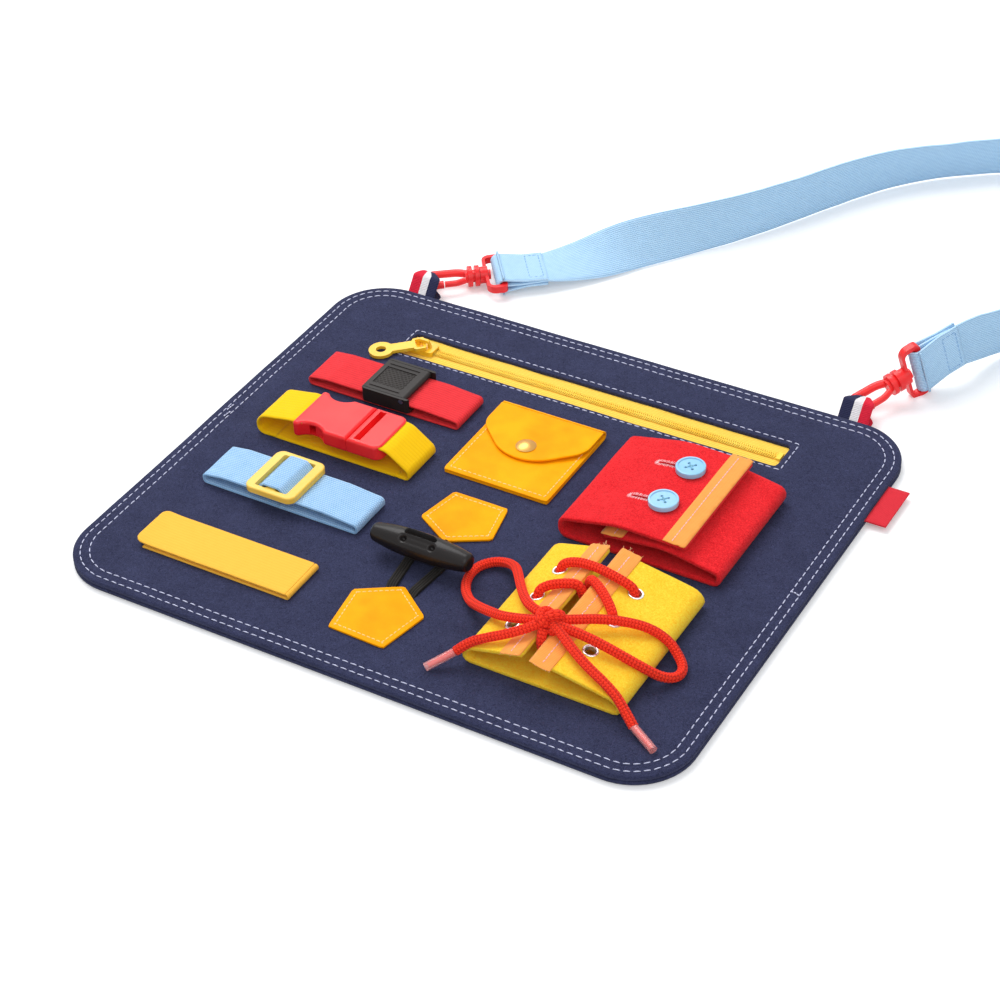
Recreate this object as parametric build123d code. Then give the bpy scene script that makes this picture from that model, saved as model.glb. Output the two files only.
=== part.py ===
from build123d import *
import math
import os

# A felt busy board: two felt panels with a zip, four webbing straps with buckles,
# a snap pocket, a toggle, a buttoned red felt sleeve and a laced yellow felt sleeve,
# and a shoulder strap on two swivel hooks.
# Sizes are in millimetres. The origin is the centre of the board's underside, +X runs
# along the long edge, +Y points to the edge with the shoulder strap, and +Z is up.

# Board panels
board_length = 300.0
board_width = 255.0
corner_radius = 27.5
rear_felt = 2.3
front_felt = 2.4
felt_edge_round = 0.5
board_top = rear_felt + front_felt
soft_gap = 0.3
overrun = 2.0

# Zip
zip_slot_length = 200.0
zip_slot_width = 17.0
zip_x = 0.2
zip_edge_inset = 39.3
zip_y = board_width / 2 - zip_edge_inset
zip_tape_width = 15.0
zip_tape_overlap = 8.0
zip_tape_thickness = 0.5
zip_halves_gap = 2.4
zip_channel_width = 11.0
zip_channel_depth = 1.3
chain_half_width = 2.5
chain_height = 1.4
chain_overlap = 0.9
tooth_pitch = 2.5
tooth_length = 1.0
chain_start_from_slider = 2.0
zip_end_margin = 3.0
stop_length = 2.2
stop_width = 1.8
slider_length = 13.0
slider_front_width = 9.6
slider_rear_width = 8.4
slider_plate = 1.1
slider_running_gap = 0.2
slider_mouth_width = 7.6
slider_throat_width = 5.6
slider_post_length = 2.6
slider_post_width = 1.8
slider_corner = 1.6
slider_end_margin = 1.0
crown_length = 8.2
crown_top_length = 5.6
crown_height = 3.9
crown_thickness = 1.5
crown_window_length = 5.0
crown_window_height = 2.4
crown_corner = 1.2
pull_reach = 21.0
pull_end_diameter = 12.0
pull_hole_diameter = 5.0
pull_thickness = 1.6
pull_neck_width = 6.0
pull_ring_width = 9.4
pull_ring_hole_width = 6.9
pull_ring_hole_length = 3.4
pull_bar = 1.3
pull_bearing = 220.0
pull_tilt = 1.8

# Webbing straps sewn to the board, from their left end to their right end
webbing_width = 23.3
webbing_thickness = 1.2
strap_length = 83.0
strap_edge_inset = 27.0
strap_left_x = strap_edge_inset - board_length / 2
strap_right_x = strap_left_x + strap_length
red_strap_y = 48.5
yellow_strap_y = 5.5
blue_strap_y = -37.5
hook_strap_y = -88.0
red_strap_height = 6.1
red_strap_end_height = 4.9
blue_strap_height = 6.8
blue_strap_end_height = 5.2
strap_end_round = 2.3
strap_flat_left_share = 0.13
strap_flat_right_share = 0.78

# Cam buckle on the red strap
cam_length = 26.0
cam_from_strap_end = 44.0
cam_x = strap_left_x + cam_from_strap_end
cam_bottom = 2.2
cam_top = 9.5
cam_wall = 1.35
cam_strap_gap = 0.3
cam_width = webbing_width + 2 * (cam_wall + cam_strap_gap)
cam_floor = 2.2
cam_floor_window = 7.0
cam_corner = 2.0
cam_gap = 0.25
cam_pin_diameter = 2.4
cam_pin_gap = 0.06
cam_pin_inset = 4.0
cam_pin_drop = 1.55
cam_lid_thickness = 2.2
cam_lid_panel_share = 0.62
cam_ridge = 0.5
cam_ridge_inset = 2.4
cam_ridge_height = 0.35
cam_panel_depth = 0.4

# Side release buckle on the yellow strap
buckle_from_strap_end = 22.0
buckle_left_x = strap_left_x + buckle_from_strap_end
socket_length = 29.0
buckle_seam_x = buckle_left_x + socket_length
plug_length = 18.0
buckle_right_x = buckle_seam_x + plug_length
buckle_strap_margin = 1.85
buckle_width = webbing_width + 2 * buckle_strap_margin
buckle_waist_width = 20.4
buckle_thickness = 8.0
buckle_bottom = 6.8
buckle_edge_round = 1.5
buckle_seam_gap = 0.3
window_start = 8.0
buckle_window_left_x = buckle_left_x + window_start
window_end = 17.0
buckle_window_right_x = buckle_left_x + window_end
buckle_cavity_width = 21.0
buckle_cavity_height = 4.6
cavity_start = 6.5
buckle_cavity_left_x = buckle_left_x + cavity_start
buckle_slot_depth = 4.6
buckle_slot_height = 2.0
buckle_slot_gap = 0.35
buckle_slot_width = webbing_width + 2 * buckle_slot_gap
buckle_slot_level = 5.4
plug_tongue_width = 5.0
plug_tongue_height = 3.4
tongue_tip_inset = 11.0
plug_tongue_left_x = buckle_left_x + tongue_tip_inset
plug_groove_inset = 5.0
plug_groove_x = buckle_seam_x + plug_groove_inset
plug_groove_width = 3.4
plug_groove_length = 23.0
arm_root_y = 6.4
arm_thickness = 2.2
arm_height = 4.0
arm_pad_y = 12.6
arm_neck_share = 0.86
arm_nose_share = 0.8
arm_tip_inset = 8.5
arm_tip_x = buckle_left_x + arm_tip_inset
arm_pad_reach = 16.4
arm_pad_right_x = buckle_left_x + arm_pad_reach
yellow_shoulder = 10.2
yellow_end_round = 4.2
yellow_shoulder_round = 7.0
yellow_right_round = 2.5
yellow_base_overlap = 6.0

# Slide ring on the blue strap
ring_length = 26.0
ring_thickness = 3.0
ring_cross_bar = 4.5
ring_side_rail = 2.7
ring_strap_gap = 0.45
ring_width = webbing_width + 2 * (ring_side_rail + ring_strap_gap)
ring_corner = 4.0
ring_window_round = 1.0
ring_from_strap_end = 38.2
ring_x = strap_left_x + ring_from_strap_end
ring_edge_round = 0.8
hump_foot = 7.7
hump_crown = 4.4
hump_round = 2.6

# Hook and loop strap
tape_webbing_thickness = 1.0
hook_base_inset = 4.0
hook_base_left_x = strap_left_x + hook_base_inset
hook_fold_inset = 3.5
hook_fold_x = strap_right_x - hook_fold_inset
hook_pad_thickness = 0.5
hook_pad_margin = 1.65
hook_pad_width = webbing_width - 2 * hook_pad_margin
hook_pad_start = 10.0
hook_pad_left_x = strap_left_x + hook_pad_start
hook_pad_end = 61.0
hook_pad_right_x = strap_left_x + hook_pad_end
hook_tip_round = 3.5

# Snap pocket and leather patches
leather = 1.1
pocket_left_x = -30.5
pocket_right_x = 23.0
pocket_bottom_y = 7.6
pocket_mouth_y = 57.0
pocket_fold_y = 61.2
pocket_corner = 2.5
flap_tip_y = 19.5
flap_shoulder_y = 44.0
flap_tip_round = 11.0
flap_gap = 1.5
snap_y = 36.3
snap_cap_diameter = 9.6
snap_cap_height = 1.5
snap_socket_diameter = 8.4
snap_socket_gap = 0.3
snap_bore_diameter = 4.2
snap_stud_base_diameter = 8.2
snap_stud_base = 0.3
snap_stud_diameter = 3.6
snap_stud_height = 1.3
patch_width = 36.5
upper_patch_depth = 32.5
lower_patch_depth = 37.0
upper_patch_x = -4.0
upper_patch_y = -19.7
lower_patch_x = -3.5
lower_patch_y = -88.0
lower_patch_turn = 178.0
patch_corner = 1.2
patch_outline_shares = ((-0.38, 0.5), (0.38, 0.5), (0.5, -0.17), (0.0, -0.5), (-0.5, -0.17))

# Toggle
toggle_length = 49.0
toggle_diameter = 12.6
toggle_end_diameter = 7.6
toggle_end_round = 2.6
toggle_belly = 18.0
toggle_x = -4.0
toggle_y = -53.0
toggle_axis_height = 10.2
toggle_hole_spacing = 14.0
toggle_hole_diameter = 4.0
toggle_groove_depth = 1.0
toggle_cord_diameter = 2.4
toggle_cord_bend_share = 1.25
loop_braid_width = 4.8
loop_braid_thickness = 1.2
loop_top_y = -46.6
loop_left_x = -9.6
loop_right_x = 5.2
loop_left_foot_x = -7.4
loop_right_foot_x = 0.6
loop_foot_y = -76.0

# Red felt sleeve with buttons
felt = 2.0
coat_front_y = -8.5
coat_back_y = 58.0
coat_edge_inset = 34.5
coat_width = 78.0
coat_right_x = board_length / 2 - coat_edge_inset
coat_left_x = coat_right_x - coat_width
coat_left_fold = 10.6
coat_right_fold = 8.0
coat_crown_inset = 29.5
coat_crown_x = coat_left_x + coat_crown_inset
coat_crown = 17.2
coat_edge_from_right = 16.5
coat_edge_x = coat_right_x - coat_edge_from_right
coat_edge = 16.4
coat_under_inset = 21.5
coat_under_x = coat_left_x + coat_under_inset
coat_under = 9.5
coat_under_crown_inset = 50.5
coat_under_crown_x = coat_left_x + coat_under_crown_inset
coat_under_crown = 13.0
coat_left_round = 4.6
coat_right_round = 3.8
coat_crown_round = 45.0
coat_ribbon_width = 10.5
ribbon_thickness = 0.5
button_diameter = 13.5
button_thickness = 2.4
button_rim = 1.1
button_dish = 0.5
button_hole_diameter = 1.3
button_hole_spacing = 3.2
button_inset = 40.1
button_x = coat_left_x + button_inset
button_upper_y = 39.5
button_lower_y = 13.4
button_lift = 0.5
shank_diameter = 1.5
shank_run = 0.2
buttonhole_start = 24.5
buttonhole_left_x = coat_left_x + buttonhole_start
buttonhole_end = 42.0
buttonhole_right_x = coat_left_x + buttonhole_end
buttonhole_width = 2.2

# Yellow felt sleeve with eyelets
shoe_front_y = -97.5
shoe_back_y = -22.0
shoe_left_x = 40.0
shoe_right_x = 118.0
shoe_slit_left_x = 70.6
shoe_slit_right_x = 75.4
shoe_edge_height = 15.5
shoe_shoulder_height = 8.6
shoe_left_shoulder_x = 44.0
shoe_right_shoulder_x = 113.0
shoe_fold_round = 3.6
shoe_shoulder_round = 7.0
shoe_ribbon_width = 9.6
eyelet_left_x = 56.5
eyelet_right_x = 92.5
eyelet_rows_y = (-40.5, -60.0, -80.0)
eyelet_diameter = 8.5
eyelet_bore = 5.0
eyelet_barrel = 5.8
eyelet_flange = 0.5

# Lace, drawn with a many-sided section
lace_diameter = 4.2
cord_sides = 12
cord_arc_share = 0.45
aglet_diameter = 3.7
aglet_length = 14.0
knot_turn_radius = 3.6
knot_second_radius = 3.75
knot_second_turn = 50.0
knot_second_shift = (0.25, 0.15, 0.2)
knot_third_radius = 4.6
knot_third_shift = (0.1, -0.2, -0.9)
knot_core_radius = 3.3
knot_core_shift = (0.0, 0.0, 0.1)

# Side label and strap tabs
label_y = 77.5
label_width = 27.0
label_reach = 10.0
label_tail = 5.0
label_thickness = 0.8
label_corner = 1.5
tab_x = 116.5
tab_width = 15.0
tab_reach = 14.0
tab_tail = 8.0
tab_ribbon = 0.6
tab_loop_height = 11.0
tab_shoulder_share = 0.8
tab_pinch_width = 4.4
tab_pinch_start = 6.0

# Swivel hooks
hook_rod = 4.0
hook_half_width = 5.0
hook_nose_reach = 9.8
hook_shaft_end = 22.5
hook_neck_share = 0.8
hook_waist_share = 0.9
hook_bow_round = 4.4
hook_axis_height = 5.7
hook_collar_diameter = 10.6
hook_collar_thickness = 2.2
hook_collar_gap = 1.4
hook_neck_diameter = 6.4
swivel_pin_diameter = 3.0
swivel_pin_gap = 0.06
swivel_head_diameter = 5.0
swivel_head_thickness = 1.2
eye_boss_diameter = 8.6
eye_boss_length = 4.0
eye_width = 30.8
eye_depth = 12.6
eye_bar = 3.0
eye_bar_round_share = 0.9
eye_side = 2.4
eye_thickness = 3.6
eye_round = 4.5
gate_rod = 3.2
gate_root = 20.5
gate_root_share = 0.4
gate_tip = 10.4
hook_past_tab = 7.2
left_hook_bearing = 38.0
left_hook_rise = 0.0
left_eye_roll = 0.0
right_hook_bearing = 55.5
right_hook_rise = 17.0
right_eye_roll = 90.0
left_tab_end_x = -114.6
right_tab_end_x = 115.4

# Shoulder strap
strap_width = 25.0
strap_thickness = 1.4
strap_wrap_gap = 0.3
strap_double_run = 22.0


def ribbon_face(points, radii, thickness, side):
    """A strip of even thickness seen edge on, from its outer line."""
    line = FilletPolyline(*points, radius=radii)
    return make_face(offset(line, amount=thickness, side=side))


def run_along_y(face, y_low, y_high):
    """A profile drawn in X and Z, run from y_low to y_high."""
    return extrude(Plane.XZ.offset(-y_low) * face, amount=y_low - y_high)


def run_along_x(face, x_low, x_high):
    """A profile drawn in Y and Z, run from x_low to x_high."""
    return extrude(Plane.YZ.offset(x_low) * face, amount=x_high - x_low)


def plate(sketch, z_low, thickness):
    """A flat sketch raised to z_low and given its thickness."""
    return extrude(Plane.XY.offset(z_low) * sketch, amount=thickness)


def span_rectangle(x_low, x_high, y_low, y_high):
    """A rectangle between two corners."""
    centre = ((x_low + x_high) / 2, (y_low + y_high) / 2)
    return Pos(*centre) * Rectangle(x_high - x_low, y_high - y_low)


def span_box(x_low, x_high, y_low, y_high, z_low, z_high):
    """A box between two corners."""
    return plate(span_rectangle(x_low, x_high, y_low, y_high), z_low, z_high - z_low)


def corner_radii(points):
    """The largest even arc for each corner of a cord's route."""
    radii = []
    for before, here, after in zip(points, points[1:], points[2:]):
        run_in = Vector(*here) - Vector(*before)
        run_out = Vector(*after) - Vector(*here)
        turn = math.radians(run_in.get_angle(run_out))
        shorter = min(run_in.length, run_out.length)
        radii.append(cord_arc_share * shorter / math.tan(turn / 2))
    return radii


def tube(name, points, diameter):
    """A round cord along straight runs and tangent arcs."""
    radii = corner_radii(points)
    path = FilletPolyline(*points, radius=radii)
    face = RegularPolygon(diameter / 2, cord_sides)
    solid = sweep(Plane(origin=path @ 0, z_dir=path % 0) * face, path=path)
    share = solid.volume / (face.area * path.length)
    print(f"{name}: length {path.length:.1f}, radii {min(radii):.1f} up, volume share {share:.3f}")
    return solid


def ring_of(outer_diameter, bore_diameter, thickness):
    """A flat ring standing on its own plane."""
    return extrude(Circle(outer_diameter / 2) - Circle(bore_diameter / 2), amount=thickness)


def rear_panel():
    """The back felt, pressed into a shallow channel under the zip slider's travel."""
    outline = RectangleRounded(board_length, board_width, corner_radius)
    body = plate(outline, 0, rear_felt)
    body = fillet(body.edges().group_by(Axis.Z)[0], felt_edge_round)
    channel = Pos(zip_x, zip_y) * Rectangle(zip_slot_length, zip_channel_width)
    return body - plate(channel, rear_felt - zip_channel_depth, zip_channel_depth + overrun)


def front_panel():
    """The front felt with the zip's slot, thinned where tape and ribbon tails are sewn in."""
    outline = RectangleRounded(board_length, board_width, corner_radius)
    body = plate(outline, rear_felt, front_felt)
    body = fillet(body.edges().group_by(Axis.Z)[-1], felt_edge_round)
    slot = Pos(zip_x, zip_y) * Rectangle(zip_slot_length, zip_slot_width)
    body -= plate(slot, rear_felt - overrun, front_felt + 2 * overrun)
    tape_length = zip_slot_length + 2 * zip_tape_overlap
    tape = Pos(zip_x, zip_y) * Rectangle(tape_length, 2 * zip_tape_width + zip_halves_gap)
    body -= plate(tape, rear_felt - overrun, zip_tape_thickness + overrun)
    edge_y = board_width / 2
    for x in (-tab_x, tab_x):
        tail = span_rectangle(
            x - tab_width / 2, x + tab_width / 2, edge_y - tab_tail, edge_y + overrun
        )
        body -= plate(tail, rear_felt - overrun, 2 * tab_ribbon + overrun)
    edge_x = board_length / 2
    tail = span_rectangle(
        edge_x - label_tail, edge_x + overrun, label_y - label_width / 2, label_y + label_width / 2
    )
    return body - plate(tail, rear_felt - overrun, label_thickness + overrun)


def zip_tapes():
    """Two woven tapes under the slot, their inner edges just apart."""
    length = zip_slot_length + 2 * zip_tape_overlap
    offset_y = (zip_halves_gap + zip_tape_width) / 2
    halves = []
    for side in (-1, 1):
        half = Pos(zip_x, zip_y + side * offset_y) * Rectangle(length, zip_tape_width)
        halves.append(plate(half, rear_felt, zip_tape_thickness))
    return Compound(children=halves)


def slider_centre_x():
    """The slider at rest, closed against the left end of the slot."""
    return zip_x - zip_slot_length / 2 + slider_end_margin + stop_length + slider_length / 2


def chain_half(side, first_x, last_x):
    """One comb of zip teeth on its tape's inner edge."""
    points = [(first_x, side * chain_half_width)]
    count = int((last_x - first_x) / tooth_pitch)
    shift = 0 if side > 0 else tooth_pitch / 2
    root = side * zip_halves_gap / 2
    tip = -side * chain_overlap
    points.append((first_x, root))
    for i in range(count):
        x = first_x + shift + i * tooth_pitch
        points += [(x, root), (x, tip), (x + tooth_length, tip), (x + tooth_length, root)]
    if shift == 0:
        points.pop(1)
    points += [(last_x, root), (last_x, side * chain_half_width)]
    outline = make_face(Polyline(*points, close=True))
    return Pos(0, zip_y) * plate(outline, rear_felt + zip_tape_thickness, chain_height)


def zip_chain():
    """The closed teeth, from inside the slider to the bottom stop."""
    first_x = slider_centre_x() + chain_start_from_slider
    last_x = zip_x + zip_slot_length / 2 - zip_end_margin
    return Compound(children=[chain_half(side, first_x, last_x) for side in (1, -1)])


def zip_stops():
    """Two top stops left of the slider and one bottom stop at the chain's end."""
    base = rear_felt + zip_tape_thickness
    left_x = slider_centre_x() - slider_length / 2 - stop_length - slider_running_gap
    right_x = zip_x + zip_slot_length / 2 - zip_end_margin
    stops = []
    for side in (-1, 1):
        near = zip_y + side * zip_halves_gap / 2
        far = near + side * stop_width
        face = span_rectangle(left_x, left_x + stop_length, min(near, far), max(near, far))
        stops.append(plate(face, base, chain_height))
    bottom = span_rectangle(
        right_x, right_x + stop_length, zip_y - chain_half_width, zip_y + chain_half_width
    )
    stops.append(plate(bottom, base, chain_height))
    return Compound(children=stops)


def tapered_outline(length, left_width, right_width):
    """A centred trapezium along X."""
    half = length / 2
    points = (
        (-half, -left_width / 2),
        (half, -right_width / 2),
        (half, right_width / 2),
        (-half, left_width / 2),
    )
    return make_face(Polyline(*points, close=True))


def slider_top():
    """Height of the slider's upper plate above the frame's floor."""
    return rear_felt + zip_tape_thickness + chain_height + slider_running_gap + slider_plate


def crown_pivot_height():
    """Height of the middle of the crown's window."""
    return slider_top() + crown_window_height / 2


def zip_slider():
    """Two plates joined by a post between the tapes, with a crown for the pull."""
    outline = tapered_outline(slider_length, slider_front_width, slider_rear_width)
    outline = fillet(outline.vertices(), slider_corner)
    tape_low = rear_felt
    tape_high = rear_felt + zip_tape_thickness
    upper_low = tape_high + slider_running_gap
    body = plate(outline, upper_low, slider_top() - upper_low)
    throat = tapered_outline(slider_length + 2 * overrun, slider_mouth_width, slider_throat_width)
    body -= plate(throat, upper_low - overrun, slider_top() - slider_plate - upper_low + overrun)
    lower_low = tape_low - slider_running_gap - slider_plate + slider_running_gap / 2
    body += plate(outline, lower_low, slider_plate)
    post_left = -slider_length / 2 + slider_corner / 2
    post = span_rectangle(
        post_left, post_left + slider_post_length, -slider_post_width / 2, slider_post_width / 2
    )
    body += plate(post, lower_low, slider_top() - lower_low)
    crown_points = (
        (-crown_length / 2, 0),
        (crown_length / 2, 0),
        (crown_top_length / 2, crown_height),
        (-crown_top_length / 2, crown_height),
    )
    crown = make_face(Polyline(*crown_points, close=True))
    crown = fillet(crown.vertices().group_by(Axis.Y)[-1], crown_corner)
    window = Rectangle(crown_window_length, crown_window_height)
    crown -= Pos(0, crown_window_height / 2) * window
    arch = run_along_y(Pos(0, slider_top()) * crown, -crown_thickness / 2, crown_thickness / 2)
    return Pos(slider_centre_x(), zip_y) * (body + arch)


def zip_pull():
    """A flat tab whose ring goes round the crown's leg, with a round holed end."""
    ring_reach = pull_bar / 2 + pull_ring_hole_length
    ring = span_rectangle(
        -pull_bar / 2, ring_reach + pull_bar, -pull_ring_width / 2, pull_ring_width / 2
    )
    ring = fillet(ring.vertices(), pull_bar)
    hole = span_rectangle(
        pull_bar / 2, ring_reach, -pull_ring_hole_width / 2, pull_ring_hole_width / 2
    )
    hole = fillet(hole.vertices(), pull_bar / 2)
    neck = span_rectangle(ring_reach, pull_reach, -pull_neck_width / 2, pull_neck_width / 2)
    end = Pos(pull_reach) * Circle(pull_end_diameter / 2)
    eye = Pos(pull_reach) * Circle(pull_hole_diameter / 2)
    tab = extrude(ring + neck + end - hole - eye, amount=pull_thickness / 2, both=True)
    pivot = Pos(slider_centre_x(), zip_y, crown_pivot_height())
    return pivot * Rot(0, 0, pull_bearing) * Rot(0, pull_tilt, 0) * tab


def flat_loop(height, end_height):
    """A sewn loop of webbing with a level top, seen from its front edge."""
    flat_left = strap_left_x + strap_flat_left_share * strap_length
    flat_right = strap_left_x + strap_flat_right_share * strap_length
    points = (
        (strap_left_x, board_top),
        (strap_right_x, board_top),
        (strap_right_x, board_top + end_height),
        (flat_right, board_top + height),
        (flat_left, board_top + height),
        (strap_left_x, board_top + end_height),
    )
    radii = [strap_end_round] * 3 + [4 * strap_end_round] * 2 + [strap_end_round]
    outer = make_face(FilletPolyline(*points, radius=radii, close=True))
    return outer - offset(outer, amount=-webbing_thickness)


def red_strap():
    """Red webbing sewn to the board as a low loop, through the cam buckle."""
    face = flat_loop(red_strap_height, red_strap_end_height)
    return run_along_y(face, red_strap_y - webbing_width / 2, red_strap_y + webbing_width / 2)


def blue_strap():
    """Light blue webbing sewn to the board as a low loop, under the slide ring."""
    face = flat_loop(blue_strap_height, blue_strap_end_height)
    return run_along_y(face, blue_strap_y - webbing_width / 2, blue_strap_y + webbing_width / 2)


def cam_pin_place():
    """X and Z of the cam buckle's pin, near its right end."""
    x = cam_x + cam_length / 2 - cam_pin_inset
    z = board_top + cam_top - cam_pin_drop
    return x, z


def cam_buckle_frame():
    """Black moulded frame: two side walls, a windowed floor and end bars under the strap."""
    outline = Pos(cam_x, red_strap_y) * Rectangle(cam_length, cam_width)
    outline = fillet(outline.vertices(), cam_corner)
    body = plate(outline, board_top + cam_bottom, cam_top - cam_bottom)
    inside = Pos(cam_x, red_strap_y) * Rectangle(
        cam_length + 2 * overrun, cam_width - 2 * cam_wall
    )
    floor_top = board_top + cam_bottom + cam_floor
    body -= plate(inside, floor_top, cam_top)
    window = Pos(cam_x, red_strap_y) * Rectangle(
        cam_length - 2 * cam_floor_window, cam_width - 2 * cam_floor_window
    )
    body -= plate(window, board_top, cam_top)
    pin_x, pin_z = cam_pin_place()
    bore = Pos(pin_x, pin_z) * Circle(cam_pin_diameter / 2)
    return body - run_along_y(bore, red_strap_y - cam_width, red_strap_y + cam_width)


def cam_buckle_pin():
    """The pin that the lid turns on, pressed into both walls."""
    pin_x, pin_z = cam_pin_place()
    face = Pos(pin_x, pin_z) * Circle(cam_pin_diameter / 2)
    return run_along_y(face, red_strap_y - cam_width / 2, red_strap_y + cam_width / 2)


def cam_buckle_lid():
    """The flip lid with a rounded cam nose over the strap and a ridged, sunk panel."""
    pin_x, pin_z = cam_pin_place()
    left_x = cam_x - cam_length / 2 + cam_gap
    top_z = board_top + cam_top
    low_z = top_z - cam_lid_thickness
    width = cam_width - 2 * cam_wall - 2 * cam_gap
    plate_face = span_rectangle(left_x, pin_x, low_z, top_z)
    nose = Pos(pin_x, pin_z) * Circle(cam_pin_drop)
    bore = Pos(pin_x, pin_z) * Circle(cam_pin_diameter / 2 + cam_pin_gap)
    body = run_along_y(plate_face + nose - bore, red_strap_y - width / 2, red_strap_y + width / 2)
    panel_length = cam_length * cam_lid_panel_share
    panel_x = left_x + cam_ridge_inset + panel_length / 2
    panel = Pos(panel_x, red_strap_y) * Rectangle(panel_length, width - 4 * cam_ridge_inset)
    body -= plate(panel, top_z - cam_panel_depth, overrun)
    for side in (-1, 1):
        ridge_y = red_strap_y + side * (width / 2 - cam_ridge_inset)
        ridge = Pos(panel_x, ridge_y) * Rectangle(panel_length, cam_ridge)
        body += plate(ridge, top_z - cam_ridge_height, 2 * cam_ridge_height)
    return body


def yellow_strap_base():
    """The sewn-down run of the yellow webbing, with both ends of the loop on it."""
    face = span_rectangle(
        strap_left_x + yellow_base_overlap,
        strap_right_x - yellow_base_overlap,
        board_top,
        board_top + webbing_thickness,
    )
    y = yellow_strap_y
    return run_along_y(face, y - webbing_width / 2, y + webbing_width / 2)


def buckle_slot_z():
    """Height of the middle of the webbing where it enters the side release buckle."""
    return board_top + buckle_bottom + buckle_slot_level + buckle_slot_height / 2


def yellow_strap_left():
    """The loop's left half, from the base round its end and into the socket."""
    top = buckle_slot_z() + webbing_thickness / 2
    points = (
        (strap_left_x + yellow_base_overlap, board_top),
        (strap_left_x, board_top),
        (strap_left_x, board_top + yellow_shoulder),
        (buckle_left_x - buckle_slot_depth / 2, top),
        (buckle_left_x + buckle_slot_depth - soft_gap, top),
    )
    radii = [yellow_end_round, yellow_shoulder_round, 2 * yellow_end_round]
    face = ribbon_face(points, radii, webbing_thickness, Side.RIGHT)
    y = yellow_strap_y
    return run_along_y(face, y - webbing_width / 2, y + webbing_width / 2)


def yellow_strap_right():
    """The loop's right half, from the base round its end and into the plug."""
    top = buckle_slot_z() + webbing_thickness / 2
    points = (
        (strap_right_x - yellow_base_overlap, board_top),
        (strap_right_x, board_top),
        (strap_right_x, board_top + yellow_shoulder / 2),
        (buckle_right_x + buckle_slot_depth / 2, top),
        (buckle_right_x - buckle_slot_depth + soft_gap, top),
    )
    radii = [yellow_right_round, yellow_end_round, 2 * yellow_end_round]
    face = ribbon_face(points, radii, webbing_thickness, Side.LEFT)
    y = yellow_strap_y
    return run_along_y(face, y - webbing_width / 2, y + webbing_width / 2)


def waisted_outline():
    """The socket seen from above: wide ends and a concave waist on both sides."""
    half = buckle_width / 2
    waist = buckle_waist_width / 2
    left, right = buckle_left_x, buckle_seam_x
    waist_start = left + 2 * buckle_edge_round
    waist_end = buckle_window_right_x
    waist_x = (buckle_window_left_x + waist_start + waist_end) / 3
    near = ThreePointArc((waist_start, -half), (waist_x, -waist), (waist_end, -half))
    far = ThreePointArc((waist_end, half), (waist_x, waist), (waist_start, half))
    end = Polyline((waist_end, -half), (right, -half), (right, half), (waist_end, half))
    start = Polyline((waist_start, half), (left, half), (left, -half), (waist_start, -half))
    outline = make_face([near, end, far, start])
    outline = fillet(outline.vertices().sort_by(Axis.X)[:-2], buckle_edge_round)
    return Pos(0, yellow_strap_y) * outline


def side_buckle_socket():
    """The female half: a hollow mouth, two side windows and a slot for the webbing."""
    y = yellow_strap_y
    low = board_top + buckle_bottom
    middle = low + buckle_thickness / 2
    body = plate(waisted_outline(), low, buckle_thickness)
    rims = body.edges().group_by(Axis.Z)
    body = fillet(rims[0] + rims[-1], buckle_edge_round)
    mouth = span_box(
        buckle_cavity_left_x,
        buckle_seam_x + overrun,
        y - buckle_cavity_width / 2,
        y + buckle_cavity_width / 2,
        middle - buckle_cavity_height / 2,
        middle + buckle_cavity_height / 2,
    )
    window = span_box(
        buckle_window_left_x,
        buckle_window_right_x,
        y - buckle_width,
        y + buckle_width,
        middle - buckle_cavity_height / 2,
        middle + buckle_cavity_height / 2,
    )
    slot = span_box(
        buckle_left_x - overrun,
        buckle_left_x + buckle_slot_depth,
        y - buckle_slot_width / 2,
        y + buckle_slot_width / 2,
        buckle_slot_z() - buckle_slot_height / 2,
        buckle_slot_z() + buckle_slot_height / 2,
    )
    return body - mouth - window - slot


def side_buckle_plug():
    """The male half: a grooved body with the webbing's slot and a guide tongue."""
    y = yellow_strap_y
    low = board_top + buckle_bottom
    middle = low + buckle_thickness / 2
    outline = span_rectangle(
        buckle_seam_x + buckle_seam_gap, buckle_right_x, y - buckle_width / 2, y + buckle_width / 2
    )
    outline = fillet(outline.vertices().group_by(Axis.X)[-1], 3 * buckle_edge_round)
    body = plate(outline, low, buckle_thickness)
    rims = body.edges().group_by(Axis.Z)
    body = fillet(rims[0] + rims[-1], buckle_edge_round)
    groove = Pos(plug_groove_x, y) * Rectangle(plug_groove_width, plug_groove_length)
    body -= plate(groove, middle, buckle_thickness)
    slot = span_box(
        buckle_right_x - buckle_slot_depth,
        buckle_right_x + overrun,
        y - buckle_slot_width / 2,
        y + buckle_slot_width / 2,
        buckle_slot_z() - buckle_slot_height / 2,
        buckle_slot_z() + buckle_slot_height / 2,
    )
    body -= slot
    tongue = span_box(
        plug_tongue_left_x,
        buckle_seam_x + overrun,
        y - plug_tongue_width / 2,
        y + plug_tongue_width / 2,
        middle - plug_tongue_height / 2,
        middle + plug_tongue_height / 2,
    )
    return body + tongue


def side_buckle_arms():
    """The plug's two sprung arms, whose pads show in the socket's side windows."""
    low = board_top + buckle_bottom + (buckle_thickness - arm_height) / 2
    arms = []
    for side in (-1, 1):
        points = (
            (buckle_seam_x + buckle_seam_gap, side * arm_root_y),
            (buckle_seam_x + buckle_seam_gap, side * (arm_root_y + arm_thickness)),
            (arm_pad_right_x, side * (arm_root_y + arm_thickness)),
            (arm_pad_right_x, side * arm_pad_y * arm_neck_share),
            (arm_tip_x + arm_thickness, side * arm_pad_y * arm_nose_share),
            (arm_tip_x, side * arm_root_y),
        )
        face = Pos(0, yellow_strap_y) * make_face(Polyline(*points, close=True))
        arms.append(plate(face, low, arm_height))
    return Compound(children=arms)


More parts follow.
